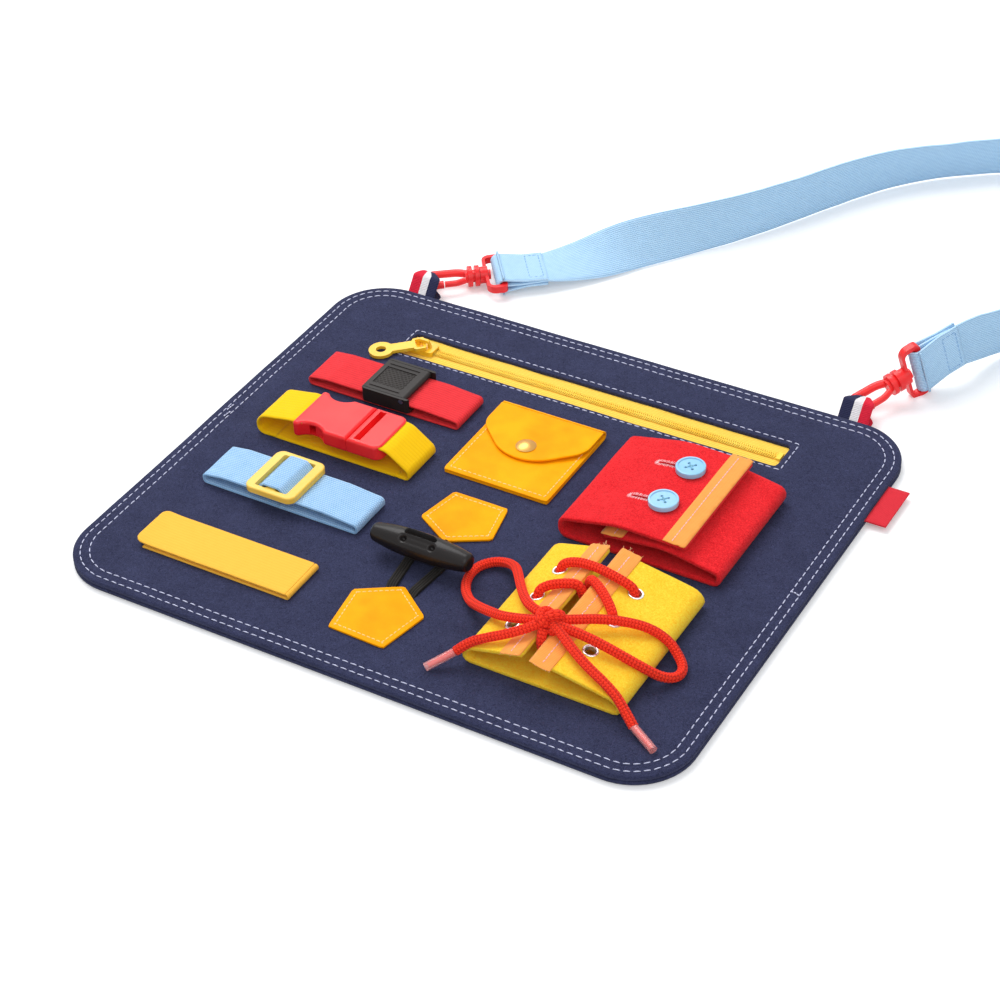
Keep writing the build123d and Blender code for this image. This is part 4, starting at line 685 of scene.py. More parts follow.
# The zip's coil: two fine spirals of yellow nylon, sewn to the tapes' inner edges and meshed
# from the slider to the closed end.
COIL_START = -88.0
COIL_END = 97.0
COIL_PITCH = 1.05
COIL_LEVEL = 3.38
COIL_SPREAD = (0.95, 1.25, 0.3)
COIL_WIRE = 0.3
TURN_POINTS = 10

surface_grain, grain_given, grain_last = pattern_group("moulded surface", Grain_Scale=700.0)
cloud = node(surface_grain, "TexNoise", Vector=grain_given["Vector"], Scale=45.0, Detail=3.0)
grain = node(surface_grain, "TexNoise", Vector=grain_given["Vector"],
             Scale=grain_given["Grain Scale"], Detail=3.0)
set_sockets(surface_grain, grain_last, {"Shade": cloud.outputs["Fac"],
                                        "Height": grain.outputs["Fac"]})


def moulded(name, dark, pale, roughness, bump=0.02, grain_scale=700.0, surface=None):
    """Plastic, paint or metal: a nearly even colour with a fine grain."""
    return shaded_material(name, surface_grain, dark, pale, bump,
                           {"Roughness": roughness, **(surface or {})}, (0.35, 0.65),
                           {"Grain Scale": grain_scale})


def dressed(material, *nodes):
    """Gives the CAD pieces a material."""
    for name in nodes:
        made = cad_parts[name]
        made.data.materials.clear()
        made.data.materials.append(material)


yellow_nylon = moulded("yellow nylon", (252, 206, 66), (255, 222, 94), 0.5,
                       surface={"Specular IOR Level": 0.2})


def tube_mesh(line, radius, sides, closed_ring=False):
    """A tube round a line of points, as vertices, faces and (run, turn) coordinates."""
    verts, marks = [], []
    normal = Vector((0, 0, 1))
    gone = 0.0
    count = len(line)
    for i, here in enumerate(line):
        ahead = line[(i + 1) % count if closed_ring else min(i + 1, count - 1)]
        behind = line[i - 1 if closed_ring or i else 0]
        way = (ahead - behind).normalized()
        normal = (normal - way * normal.dot(way)).normalized()
        other = way.cross(normal)
        gone += (here - line[i - 1]).length if i else 0.0
        for k in range(sides):
            turn = 2 * math.pi * k / sides
            reach = radius(gone, turn) if callable(radius) else radius
            verts.append(here + (normal * math.cos(turn) + other * math.sin(turn)) * reach)
            marks.append((gone, turn))
    rows = numbered(count, sides)
    faces = faces_between(rows + rows[:1] if closed_ring else rows, turned=True)
    if not closed_ring:
        faces += [tuple(reversed(rows[0])), tuple(rows[-1])]
    return verts, faces, marks


def coil_half(side):
    """One spiral, its turns between the other's."""
    turns = round((COIL_END - COIL_START) / COIL_PITCH)
    middle, half_width, half_height = COIL_SPREAD
    line = []
    for i in range(turns * TURN_POINTS + 1):
        turn = i / TURN_POINTS * 2 * math.pi
        x = COIL_START + (i / TURN_POINTS + (0.5 if side > 0 else 0)) * COIL_PITCH
        y = ZIP_Y + side * (middle + half_width * math.cos(turn))
        line.append(Vector((x, y, COIL_LEVEL + half_height * math.sin(turn))))
    return tube_mesh(line, COIL_WIRE, 6)[:2]


finished("zip_coil", *joined((coil_half(1), coil_half(-1))), yellow_nylon, "board",
         replaced=["zip_chain"], slot="zip_teeth")
dressed(yellow_nylon, "zip_stops")

# The slider and its pull: die-cast zinc under thick glossy yellow paint. The slider runs on
# the coils, and the pull turns on the bar under its crown.
glossy = {"Coat Weight": 0.6, "Coat Roughness": 0.12}
dressed(moulded("yellow paint", (246, 184, 18), (255, 204, 44), 0.28, 0.015, 500.0, glossy),
        "zip_slider", "zip_pull")


# The red strap: polypropylene webbing with fine cross ribs, folded into a low loop and sewn
# to the board along its middle. It runs through the cam buckle.
RED_Y = 48.5
WEBBING_WIDTH = 23.3
WEBBING_THICKNESS = 1.2
STRAP_LEFT = -123.0
STRAP_RIGHT = -40.0
LOOP_LEFT = STRAP_LEFT + 0.13 * (STRAP_RIGHT - STRAP_LEFT)
LOOP_RIGHT = STRAP_LEFT + 0.78 * (STRAP_RIGHT - STRAP_LEFT)


def rounded_path(points, radii, step=0.45, straight=1.6):
    """The close points of a plane line whose inner corners are arcs of these radii."""
    line = [Vector(points[0])]
    for before, corner, after, radius in zip(points, points[1:], points[2:], radii):
        corner = Vector(corner)
        back_way = (Vector(before) - corner).normalized()
        on_way = (Vector(after) - corner).normalized()
        half = back_way.angle(on_way) / 2
        middle = corner + (back_way + on_way).normalized() * radius / math.sin(half)
        arm = corner + back_way * radius / math.tan(half) - middle
        last = corner + on_way * radius / math.tan(half) - middle
        sweep = math.copysign(math.pi - 2 * half, arm.cross(last))
        count = max(4, round(abs(sweep) * radius / step))
        stretch_to(line, middle + arm, straight)
        for i in range(1, count + 1):
            line.append(middle + Matrix.Rotation(sweep * i / count, 2) @ arm)
    stretch_to(line, Vector(points[-1]), straight)
    return line


def stretch_to(line, end, straight):
    """Carries a line on to a point in even steps."""
    start = line[-1]
    count = max(1, round((end - start).length / straight))
    line += [start.lerp(end, (i + 1) / count) for i in range(count)]


def swept(name, line, ups, width, thickness, material, body, replaced=(), slot=None,
          across=12, sway=0.0, gather=None, seed=0.0):
    """A woven band along a line of points: ups are the directions its face looks, the line
    lies on that face, and gather gives each point's side shift and share of the width."""
    verts, uvs, rows = [], [], []
    gone = 0.0
    edge = 0.3 * thickness
    steps = [-0.5 * width, -0.5 * width + edge]
    steps += [(k / across - 0.5) * (width - 2 * edge) for k in range(1, across)]
    steps += [0.5 * width - edge, 0.5 * width]
    for i, (here, way) in enumerate(zip(line, ways_of(line))):
        gone += (here - line[i - 1]).length if i else 0.0
        way = way.normalized()
        face = ups[i] if isinstance(ups, list) else ups
        face = (face - way * face.dot(way)).normalized()
        side_way = face.cross(way)
        shift, share = gather(i) if gather else (0.0, 1.0)
        row = []
        for level, order in ((0, steps), (1, steps[::-1])):
            for v in order:
                near = 1 - min(1, (0.5 * width - abs(v)) / edge)
                depth = level + 0.28 * near * (1 - 2 * level)
                wave = sway * uneven(gone * 0.07, v * 0.09, seed)
                row.append(len(verts))
                verts.append(here + side_way * (v * share + shift)
                             + face * (wave - depth * thickness))
                uvs.append((gone, v))
        rows.append(row)
    faces = faces_between(rows) + [tuple(reversed(rows[0])), tuple(rows[-1])]
    return finished(name, verts, faces, material, body, uvs, replaced, slot=slot)


def ways_of(line):
    """The way an open line runs at each of its points."""
    return [after - before for before, after in zip(line[:1] + line[:-1], line[1:] + line[-1:])]


def standing(line, y, side):
    """A line of (x, z) points in the upright plane at y, and the direction that each stretch
    looks: side 1 is the line's left."""
    ups = [Vector((-way.y, 0, way.x)).normalized() * side for way in ways_of(line)]
    return [Vector((p[0], y, p[1])) for p in line], ups


def low_loop(name, y, height, end_height, material, replaced, slot, seed):
    """A flat loop of webbing, from the middle of its sewn run round and back."""
    middle = (STRAP_LEFT + STRAP_RIGHT) / 2
    points = (
        (middle, BOARD_TOP), (STRAP_RIGHT, BOARD_TOP), (STRAP_RIGHT, BOARD_TOP + end_height),
        (LOOP_RIGHT, BOARD_TOP + height), (LOOP_LEFT, BOARD_TOP + height),
        (STRAP_LEFT, BOARD_TOP + end_height), (STRAP_LEFT, BOARD_TOP), (middle, BOARD_TOP),
    )
    line = rounded_path(points, (2.3, 2.3, 9.2, 9.2, 2.3, 2.3))
    swept(name, *standing(line, y, -1), WEBBING_WIDTH, WEBBING_THICKNESS, material, "board",
          [replaced], slot, sway=0.16, seed=seed)


red_weave = webbing("red webbing", (204, 20, 32), (255, 64, 70), 1.5, 0.62, 0.5, 0.3, 0.3)
low_loop("red_strap_band", RED_Y, 6.1, 4.9, red_weave, "red_strap", "red_webbing", 1.0)

# The cam buckle: a black nylon frame and a flip lid whose ridged, crosshatched panel takes
# the thumb, turning on a steel pin pressed into the walls.
buckle_black = moulded("buckle black", (30, 26, 25), (44, 39, 37), 0.42, 0.05, 900.0,
                       {"Specular IOR Level": 0.22})
dressed(buckle_black, "cam_buckle_frame", "cam_buckle_lid")
dressed(moulded("steel", (150, 150, 155), (185, 185, 190), 0.3, surface={"Metallic": 1.0}),
        "cam_buckle_pin")

GRIP_CORNER = (-89.35, RED_Y - 6.7, 13.72)
GRIP_SIZE = (16.1, 13.4)
RIDGE_PITCH = 2.2
RIDGE_HEIGHT = 0.42


def crosshatch_panel():
    """The lid's moulded grip: crossing ridges over the sunk panel."""
    columns, rows = 92, 76
    verts = []
    for j in range(rows + 1):
        for i in range(columns + 1):
            x = GRIP_CORNER[0] + GRIP_SIZE[0] * i / columns
            y = GRIP_CORNER[1] + GRIP_SIZE[1] * j / rows
            one = abs(math.sin((x + y * 0.9) * math.pi / RIDGE_PITCH))
            two = abs(math.sin((x - y * 0.9) * math.pi / RIDGE_PITCH))
            border = min(i, columns - i, j, rows - j)
            ridge = max(one, two) ** 3 * min(1, border / 3)
            verts.append((x, y, GRIP_CORNER[2] + RIDGE_HEIGHT * ridge))
    faces = faces_between(numbered(rows + 1, columns + 1), turned=True, round_about=False)
    finished("cam_lid_grip", verts, faces, buckle_black, "cam_lid", slot="black_plastic")


crosshatch_panel()


# The yellow strap: smooth seat-belt webbing, one run sewn flat to the board and two free
# halves that stand up and enter the side release buckle.
YELLOW_Y = 5.5
BUCKLE_LEFT = -101.0
BUCKLE_RIGHT = -54.0
BUCKLE_SLOT_TOP = 18.5

yellow_weave = webbing("yellow webbing", (232, 172, 2), (255, 206, 12), 1.9, 0.55, 1.0, 0.35,
                       0.16, (0.0, 0.6))


def yellow_half(name, points, radii, replaced):
    """One free half of the loop."""
    line = rounded_path(points, radii)
    turning = 1 if points[1][0] < points[0][0] else -1
    made = swept(name, *standing(line, YELLOW_Y, turning), WEBBING_WIDTH, WEBBING_THICKNESS,
                 yellow_weave, "board", [replaced], "yellow_webbing", sway=0.12, seed=3.0)
    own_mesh(made)


yellow_half(
    "yellow_loop_left",
    ((-112.0, BOARD_TOP), (STRAP_LEFT, BOARD_TOP), (STRAP_LEFT, BOARD_TOP + 10.2),
     (BUCKLE_LEFT - 2.3, BUCKLE_SLOT_TOP), (BUCKLE_LEFT + 4.3, BUCKLE_SLOT_TOP)),
    (4.2, 7.0, 8.4), "yellow_strap_left",
)
yellow_half(
    "yellow_loop_right",
    ((-48.0, BOARD_TOP), (STRAP_RIGHT, BOARD_TOP), (STRAP_RIGHT, BOARD_TOP + 5.1),
     (BUCKLE_RIGHT + 2.3, BUCKLE_SLOT_TOP), (BUCKLE_RIGHT - 4.3, BUCKLE_SLOT_TOP)),
    (2.5, 4.2, 8.4), "yellow_strap_right",
)
yellow_run = [Vector((x, YELLOW_Y, BOARD_TOP + WEBBING_THICKNESS - 0.03))
              for x in np.linspace(-117, -46, 40)]
swept("yellow_sewn_run", yellow_run, Vector((0, 0, 1)), WEBBING_WIDTH, WEBBING_THICKNESS,
      yellow_weave, "board", ["yellow_strap_base"], "yellow_webbing")

# The side release buckle: smooth glossy red acetal. The plug's two arms snap into the socket.
gloss = {"Specular IOR Level": 0.3, "Coat Weight": 0.08, "Coat Roughness": 0.15}
red_acetal = moulded("red buckle plastic", (236, 32, 38), (250, 50, 50), 0.3, 0.01, 400.0, gloss)
dressed(red_acetal, "side_buckle_socket", "side_buckle_plug", "side_buckle_arms")


# The light blue strap: ribbed cotton-feel webbing in a low loop, whose upper run passes over
# the middle bar of the pale yellow slide ring.
BLUE_Y = -37.5
RING_X = -84.8
RISE = ((-12.0, 11.9), (-8.2, 12.1), (-4.4, 16.3), (4.4, 16.3), (8.2, 12.1), (12.0, 11.9))

blue_weave = webbing("light blue webbing", (102, 162, 214), (176, 212, 246), 1.15, 1.15, 0.5,
                     0.6, 0.34)
low_loop("blue_strap_band", BLUE_Y, 6.8, 5.2, blue_weave, "blue_strap", "light_blue_webbing",
         5.0)
rise_line = rounded_path([(RING_X + x, z) for x, z in RISE], (2.0, 2.6, 2.6, 2.0))
swept("blue_strap_rise", *standing(rise_line, BLUE_Y, 1), WEBBING_WIDTH, 1.1, blue_weave,
      "ring_slider", ["blue_strap_hump"], "light_blue_webbing")
dressed(moulded("pale yellow plastic", (242, 196, 76), (250, 208, 98), 0.35, 0.01, 400.0, gloss),
        "slide_ring")


# The hook and loop strap: pale orange webbing folded at its right end, the under run sewn
# down, the upper one a free flap. Pads of loops and hooks lie between them.
HOOK_Y = -88.0
FOLD_X = -43.5
FLAP_TOP = 8.0
FLAP_CORNER = 3.5
AMBER = 1.0

amber_weave = webbing("amber webbing", (240, 172, 52), (255, 194, 74), 1.6, 0.6, 1.0, 0.3, 0.08)
fold = rounded_path(
    ((-119.0, BOARD_TOP), (FOLD_X + 1.65, BOARD_TOP), (FOLD_X + 1.65, FLAP_TOP),
     (FOLD_X, FLAP_TOP)),
    (1.64, 1.64), 0.3,
)
swept("hook_strap_run", *standing(fold, HOOK_Y, -1), WEBBING_WIDTH, AMBER, amber_weave,
      "board", ["hook_strap_base"], "amber_webbing")


def flap_lie(u, v, h):
    """The flap, flat on its pad, its free end a little lifted."""
    lift = 0.9 * max(0, (-113.0 - u) / 10.0) ** 2
    return (u, v, FLAP_TOP - AMBER + h + lift + 0.1 * uneven(u * 0.06, v * 0.08, 8.0))


def flap_outline():
    """A rectangle whose free end has rounded corners."""
    half = WEBBING_WIDTH / 2
    points = [(FOLD_X - 0.2, HOOK_Y - half), (FOLD_X - 0.2, HOOK_Y + half)]
    for quarter, away in ((1, half - FLAP_CORNER), (2, FLAP_CORNER - half)):
        for turn in np.linspace(quarter * math.pi / 2, (quarter + 1) * math.pi / 2, 8):
            points.append((STRAP_LEFT + FLAP_CORNER * (1 + math.cos(turn)),
                           HOOK_Y + away + FLAP_CORNER * math.sin(turn)))
    return points


cut_piece("hook_strap_free_flap", flap_outline(), AMBER, flap_lie, amber_weave, "hook_flap", 1.7,
          edge=0.3, replaced=["hook_strap_flap"], slot="amber_webbing")
pad_pile = felt("fastening pile", (226, 158, 50), (255, 206, 96), 0.5, 1500.0)
dressed(pad_pile, "hook_pad", "loop_pad")


# The snap pocket: orange coated leather. The back is folded over at its top into the flap,
# the front is stitched to it on three sides.
LEATHER = 1.1
POCKET_LEFT = -30.5
POCKET_RIGHT = 23.0
POCKET_BOTTOM = 7.6
POCKET_MOUTH = 57.0
POCKET_FOLD = 61.2
POCKET_TOP = 9.5
POCKET_MIDDLE = (POCKET_LEFT + POCKET_RIGHT) / 2
POCKET_STITCH = (2.6, 1.9, 0.55)
SEAM_INSET = 2.5

leather_grain, leather_given, leather_last = pattern_group("leather grain", Grain_Scale=1100.0)
pebble = node(leather_grain, "TexVoronoi", Vector=leather_given["Vector"],
              Scale=leather_given["Grain Scale"])
mottle = node(leather_grain, "TexNoise", Vector=leather_given["Vector"], Scale=60.0, Detail=5.0)
set_sockets(leather_grain, leather_last, {"Shade": mottle.outputs["Fac"],
                                          "Height": pebble.outputs["Distance"]})

waxed = {"Roughness": 0.42, "Specular IOR Level": 0.1, "Specular Tint": srgb(255, 180, 20)}
orange_leather = shaded_material("orange leather", leather_grain, (248, 152, 6), (255, 176, 14),
                                 0.03, waxed)
cream_thread = thread("cream thread", (250, 196, 96), (255, 230, 160))


def leather_piece(name, outline, bend, cell, edge, replaced, body="board"):
    """A cut of the orange leather."""
    cut_piece(name, outline, LEATHER, bend, orange_leather, body, cell, edge=edge,
              replaced=[replaced], slot="orange_leather")


def bend_on(line, side, along_y=False):
    """A fold for a cut, and its length: u runs along a line of (x, z) points, or of (y, z)
    points, and h rises on the line's side."""
    flat = np.array([tuple(p) for p in line])
    runs = np.linalg.norm(np.diff(flat, axis=0), axis=1)
    flat = flat[np.concatenate([[True], runs > 1e-6])]
    reach = reach_along(flat)
    ways = np.gradient(flat, reach, axis=0)
    rows = [flat[:, 0], flat[:, 1], ways[:, 0], ways[:, 1]]

    def bend(u, v, h):
        across, level, way, rise = (float(np.interp(u, reach, row)) for row in rows)
        size = math.hypot(way, rise)
        across -= side * rise / size * h
        level += side * way / size * h
        return (v, across, level) if along_y else (across, v, level)

    return bend, float(reach[-1])


def pocket_pieces():
    """The back with its folded head, the front, and their seam."""
    line = rounded_path(
        ((POCKET_BOTTOM, BOARD_TOP), (POCKET_FOLD + 2.4, BOARD_TOP),
         (POCKET_FOLD + 2.4, POCKET_TOP), (POCKET_FOLD - 0.1, POCKET_TOP)),
        (2.39, 2.39), 0.35,
    )
    bend, length = bend_on(line, 1, along_y=True)
    outline = rounded_rectangle(length, POCKET_RIGHT - POCKET_LEFT, 0.8,
                                (length / 2, POCKET_MIDDLE), 0.4)
    leather_piece("pocket_back_leather", outline, bend, 1.5, 0.25, "pocket_back")
    depth = POCKET_MOUTH - POCKET_BOTTOM
    centre = (POCKET_MIDDLE, POCKET_BOTTOM + depth / 2)
    outline = rounded_rectangle(POCKET_RIGHT - POCKET_LEFT, depth, 0.9, centre, 0.4)

    def lie(u, v, h):
        mouth = max(0, (v - 46.0) / 11.0)
        puff = 0.35 * depth_in(u, v, POCKET_RIGHT - POCKET_LEFT, depth, 6, centre) / 10
        return (u, v, BOARD_TOP + LEATHER + h + 0.5 * mouth ** 2 + min(0.4, max(0, puff)))

    leather_piece("pocket_front_leather", outline, lie, 2.2, 0.25, "pocket_front")
    left, right = POCKET_LEFT + SEAM_INSET, POCKET_RIGHT - SEAM_INSET
    mouth, bottom = POCKET_MOUTH - 1.0, POCKET_BOTTOM + SEAM_INSET
    seam_line = even_line([(left, mouth), (left, bottom), (right, bottom), (right, mouth)], 0.6)
    sewn("pocket_stitches", [seam(seam_line, lie, LEATHER, POCKET_STITCH, 11)], cream_thread,
         "board", "white_thread")


def flap_shape():
    """The flap's outline: straight sides that swing round into a blunt point."""
    root = POCKET_FOLD - 0.3
    line = rounded_path(
        ((POCKET_LEFT, root), (POCKET_LEFT, 44.0), (POCKET_MIDDLE, 19.5), (POCKET_RIGHT, 44.0),
         (POCKET_RIGHT, root)),
        (11.0, 22.0, 11.0), 0.8,
    )
    return [tuple(p) for p in line]


def pocket_flap_lie(u, v, h):
    """The flap lies in one easy curve down to the snap."""
    drop = 0.25 * max(0, (56 - v) / 20) ** 2
    return (u, v, POCKET_TOP - LEATHER + h - min(drop, 0.5))


pocket_pieces()
leather_piece("pocket_flap_leather", flap_shape(), pocket_flap_lie, 2.0, 0.3, "pocket_flap",
              "pocket_flap")

# The snap: pressed brass, its cap riveted through the flap over the socket, the stud on the
# pocket's front.
dressed(moulded("snap brass", (186, 136, 66), (214, 164, 92), 0.34, 0.02, 900.0,
                {"Metallic": 0.85}), "snap_cap", "snap_socket", "snap_stud")


# The two patches that hold the toggle's cord and its loop: five-sided cuts of the same
# leather, sewn flat round their edges.
PATCH_WIDTH = 36.5
PATCH_CORNER = 0.7
PATCH_STITCH = (2.4, 1.75, 0.55)


def patch_outline(x, y, depth, turn):
    """A five-sided outline with small rounded corners."""
    shares = ((-0.38, 0.5), (0.38, 0.5), (0.5, -0.17), (0.0, -0.5), (-0.5, -0.17))
    turned = Matrix.Rotation(math.radians(turn), 2)
    corners = [turned @ Vector((a * PATCH_WIDTH, b * depth)) + Vector((x, y)) for a, b in shares]
    middles = [(a + b) / 2 for a, b in zip(corners, corners[1:] + corners[:1])]
    line = []
    for before, point, after in zip(middles[-1:] + middles[:-1], corners, middles):
        line += rounded_path((before, point, after), (PATCH_CORNER,), 0.5)[:-1]
    return line


def patch(name, x, y, depth, turn, seed):
    """One patch with its seam."""
    outline = patch_outline(x, y, depth, turn)

    def lie(u, v, h):
        reach = math.hypot(u - x, v - y)
        puff = 0.55 * math.exp(-(reach / 11.0) ** 2)
        return (u, v, BOARD_TOP + h + (puff if h > 0.6 else 0))

    leather_piece(f"{name}_leather", outline, lie, 2.0, 0.3, name)
    ring = moved_in(counterclockwise(even_ring(outline, 1.0)), SEAM_INSET)
    sewn(f"{name}_stitches", [seam(closed(ring), lie, LEATHER, PATCH_STITCH, seed)],
         cream_thread, "board", "white_thread")


patch("toggle_patch_upper", -4.0, -19.7, 32.5, 0, 12)
patch("toggle_patch_lower", -3.5, -88.0, 37.0, 178, 13)


# The toggle: a turned black barrel with a long recess between its two cord holes. Its black
# cord comes from the upper patch, and the lower patch's flat elastic loop holds it.
TOGGLE = (-4.0, -53.0, 14.9)
TOGGLE_LENGTH = 49.0
TOGGLE_RADIUS = 6.3
TOGGLE_END_RADIUS = 3.9
TOGGLE_ROUNDING = 1.8
HOLE_REACH = 7.0
RECESS_LEAN = 0.62

toggle_gloss = {"Specular IOR Level": 0.18, "Coat Weight": 0.16, "Coat Roughness": 0.16}
toggle_black = moulded("toggle black", (17, 14, 14), (26, 22, 22), 0.4, 0.03, 300.0,
                       toggle_gloss)


def barrel_radius(x):
    """The barrel's radius: one smooth swell with softly rounded ends."""
    share = abs(x) / (TOGGLE_LENGTH / 2)
    swell = TOGGLE_END_RADIUS + (TOGGLE_RADIUS - TOGGLE_END_RADIUS) * (1 - share ** 2.2)
    end = max(0.0, abs(x) - (TOGGLE_LENGTH / 2 - TOGGLE_ROUNDING)) / TOGGLE_ROUNDING
    return swell - TOGGLE_ROUNDING * (1 - math.sqrt(max(0.0, 1 - end ** 2)))


def barrel():
    """The barrel as a mesh, its face pressed in where the recess and the holes are."""
    xs = np.linspace(-0.5, 0.5, 181) * TOGGLE_LENGTH
    sides = 96
    verts = []
    for x in xs:
        radius = barrel_radius(x)
        run = max(0.0, abs(x) - HOLE_REACH)
        for k in range(sides):
            turn = 2 * math.pi * k / sides
            lean = turn - RECESS_LEAN if turn < math.pi else turn - 2 * math.pi - RECESS_LEAN
            off = radius * math.sin(-lean) if abs(lean) < 1.3 else 9.0
            hole = min(math.hypot(abs(x) - HOLE_REACH, off), 9.0)
            dip = 0.6 * (1 - smooth_step(1.0, 2.8, math.hypot(run, off)))
            dip += 1.6 * (1 - smooth_step(0.4, 2.0, hole))
            reach = radius - dip
            verts.append((TOGGLE[0] + x, TOGGLE[1] - reach * math.sin(turn),
                          TOGGLE[2] + reach * math.cos(turn)))
    rows = numbered(len(xs), sides)
    faces = faces_between(rows) + [tuple(rows[0]), tuple(reversed(rows[-1]))]
    return verts, faces


finished("toggle_barrel", *barrel(), toggle_black, "toggle", replaced=["toggle"],
         slot="toggle_black")
black_cord = felt("black cord", (12, 11, 11), (28, 26, 26), 0.2, 1300.0)
dressed(black_cord, "toggle_cord")

elastic_weave = webbing("black elastic", (18, 17, 16), (48, 45, 42), 1.15, 0.75, 0.5, 0.72, 0.3,
                        (0.3, 0.85))
loop_line = rounded_path(
    ((-7.6, -78.5), (-11.2, -51.5), (-9.8, -49.0), (2.8, -49.0), (4.2, -51.5), (1.2, -78.5)),
    (4.0, 2.6, 2.6, 4.0), 0.4, 1.0,
)
loop_line = [
    Vector((p.x, p.y, BOARD_TOP + 0.1 + 1.1 * smooth_step(-73.0, -69.0, p.y))) for p in loop_line
]
swept("elastic_loop", loop_line, Vector((0, 0, 1)), 4.8, 1.15, elastic_weave, "board",
      ["toggle_loop"], "toggle_elastic", across=8, sway=0.1)


# The coat: red felt wrapped into a flat sleeve and sewn down, its left flap lying over its
# right one, with a sewn buttonhole under each button.
FELT = 2.0
COAT_FRONT = -8.5
COAT_BACK = 58.0
COAT_LEFT = 37.5
COAT_RIGHT = 115.5
COAT_EDGE_X = 99.0
COAT_LINE = (
    (59.0, BOARD_TOP + 9.5), (88.0, BOARD_TOP + 13.0), (COAT_RIGHT, BOARD_TOP + 8.0),
    (COAT_RIGHT, BOARD_TOP), (COAT_LEFT, BOARD_TOP), (COAT_LEFT, BOARD_TOP + 10.6),
    (67.0, BOARD_TOP + 17.2), (COAT_EDGE_X, BOARD_TOP + 16.4),
)
BUTTONHOLE = (62.0, 79.5)
BUTTONS_Y = (39.5, 13.4)
BUTTON_X = 77.6
SLIT_WIDTH = 1.3
HOLE_THREAD = 0.34
HOLE_STITCH_PITCH = 0.62

red_felt = felt("red felt", (208, 16, 26), (255, 50, 56), 0.42, 850.0)


def sleeve(points, radii, side):
    """A felt sleeve's fold, its outer line from one lip round to the other, with a little
    unevenness along it; h is measured inwards from the outer face."""
    line = rounded_path(points, radii, 0.6, 2.0)
    bend, length = bend_on(line, side)

    def wavy(u, v, h):
        x, y, z = bend(u, v, h)
        share = min(1.0, max(0.0, (z - BOARD_TOP - 1.5) / 6.0))
        return (x, y, z + 0.5 * share * uneven(x * 0.035, y * 0.035, 2.0 + side))

    return wavy, length


coat_bend, coat_length = sleeve(COAT_LINE, (45, 3.8, 3.8, 4.6, 4.6, 45), -1)


def coat_outer(u, v, h):
    """The coat's fold with h rising from its inner face."""
    return coat_bend(u, v, FELT - h)


def coat_felt_piece():
    """The felt with its two slits."""
    middle = (COAT_BACK + COAT_FRONT) / 2
    outline = rounded_rectangle(coat_length, COAT_BACK - COAT_FRONT, 0.8,
                                (coat_length / 2, middle), 0.5)
    slits = []
    near = coat_length - (COAT_EDGE_X - BUTTONHOLE[1])
    far = coat_length - (COAT_EDGE_X - BUTTONHOLE[0])
    for y in BUTTONS_Y:
        slits.append(rounded_rectangle(near - far, SLIT_WIDTH, 0.6, ((near + far) / 2, y), 0.3))
    cut_piece("coat_red_felt", outline, FELT, coat_outer, red_felt, "board", 2.0, slits,
              edge=0.5, replaced=["coat_felt"], slot="red_felt")
    return far, near


hole_far, hole_near = coat_felt_piece()


def buttonhole_stitches(bend, far, near, y, level, seed):
    """Close radial stitches round a slit."""
    draw = random.Random(seed)
    stitches = []
    for side in (-1, 1):
        count = int((near - far) / HOLE_STITCH_PITCH)
        for i in range(count):
            u = far + (near - far) * (i + 0.5) / count
            reach = 1.7 * draw.uniform(0.85, 1.1)
            line = [Vector((u + draw.uniform(-0.12, 0.12), y + side * 0.5)),
                    Vector((u + draw.uniform(-0.25, 0.25), y + side * (0.5 + reach)))]
            stitch = (reach, reach * 1.05, HOLE_THREAD)
            stitches.append(seam(line, bend, level, stitch, seed + i))
    for end, way in ((far, -1), (near, 1)):
        for turn in np.linspace(-1.3, 1.3, 7):
            out = Vector((way * math.cos(turn), math.sin(turn)))
            start = Vector((end, y)) + out * 0.3
            stitches.append(seam([start, start + out * 1.8], bend, level,
                                 (1.8, 1.9, HOLE_THREAD), seed + 90 + int(turn * 10)))
    return joined(stitches)


pink_thread = thread("pale pink thread", (232, 150, 160), (255, 226, 226))
sewn("buttonhole_stitches",
     [buttonhole_stitches(coat_outer, hole_far, hole_near, y, FELT, 20 + i)
      for i, y in enumerate(BUTTONS_Y)],
     pink_thread, "board", "white_thread")


# The orange ribbons: satin tape along the coat's upper edge and the covered edge below it,
# each held by one seam along its middle.
RIBBON = 0.5
COAT_RIBBON_WIDTH = 10.5
RIBBON_STITCH = (2.1, 1.7, 0.5)

ribbon_weave = webbing("orange ribbon", (232, 128, 40), (255, 172, 84), 0.8, 0.45, 1.0, 0.55,
                       0.14, sheen=0.3)


def jagged(u_low, u_high, v_low, v_high, tooth, seed):
    """A ribbon's outline whose two ends are cut in small uneven teeth."""
    draw = random.Random(seed)
    count = max(4, int((u_high - u_low) / tooth))
    points = []
    for v, way, steps in ((v_low, -1, range(count + 1)), (v_high, 1, range(count, -1, -1))):
        for i in steps:
            out = 0.0
            if 0 < i < count:
                out = draw.uniform(0.1, 0.9) if i % 2 else draw.uniform(-0.2, 0.2)
            points.append((u_low + (u_high - u_low) * i / count, v + way * out))
    return points


def ribbon_on(name, bend, u_low, u_high, v_low, v_high, seed, replaced=()):
    """A ribbon laid on a sleeve's outer face between two runs of its fold."""
    outline = jagged(u_low, u_high, v_low, v_high, 1.1, seed)
    cut_piece(name, outline, RIBBON, lambda u, v, h: bend(u, v, -0.02 - h), ribbon_weave,
              "board", 1.5, edge=0.12, replaced=replaced, slot="orange_ribbon")


ribbon_on("coat_ribbon_upper", coat_bend, coat_length - COAT_RIBBON_WIDTH, coat_length + 0.15,
          COAT_FRONT - 0.4, COAT_BACK + 0.4, 31, ["coat_ribbons"])
ribbon_on("coat_ribbon_under", coat_bend, -0.15, COAT_RIBBON_WIDTH, COAT_FRONT - 0.4,
          COAT_BACK + 0.4, 32)


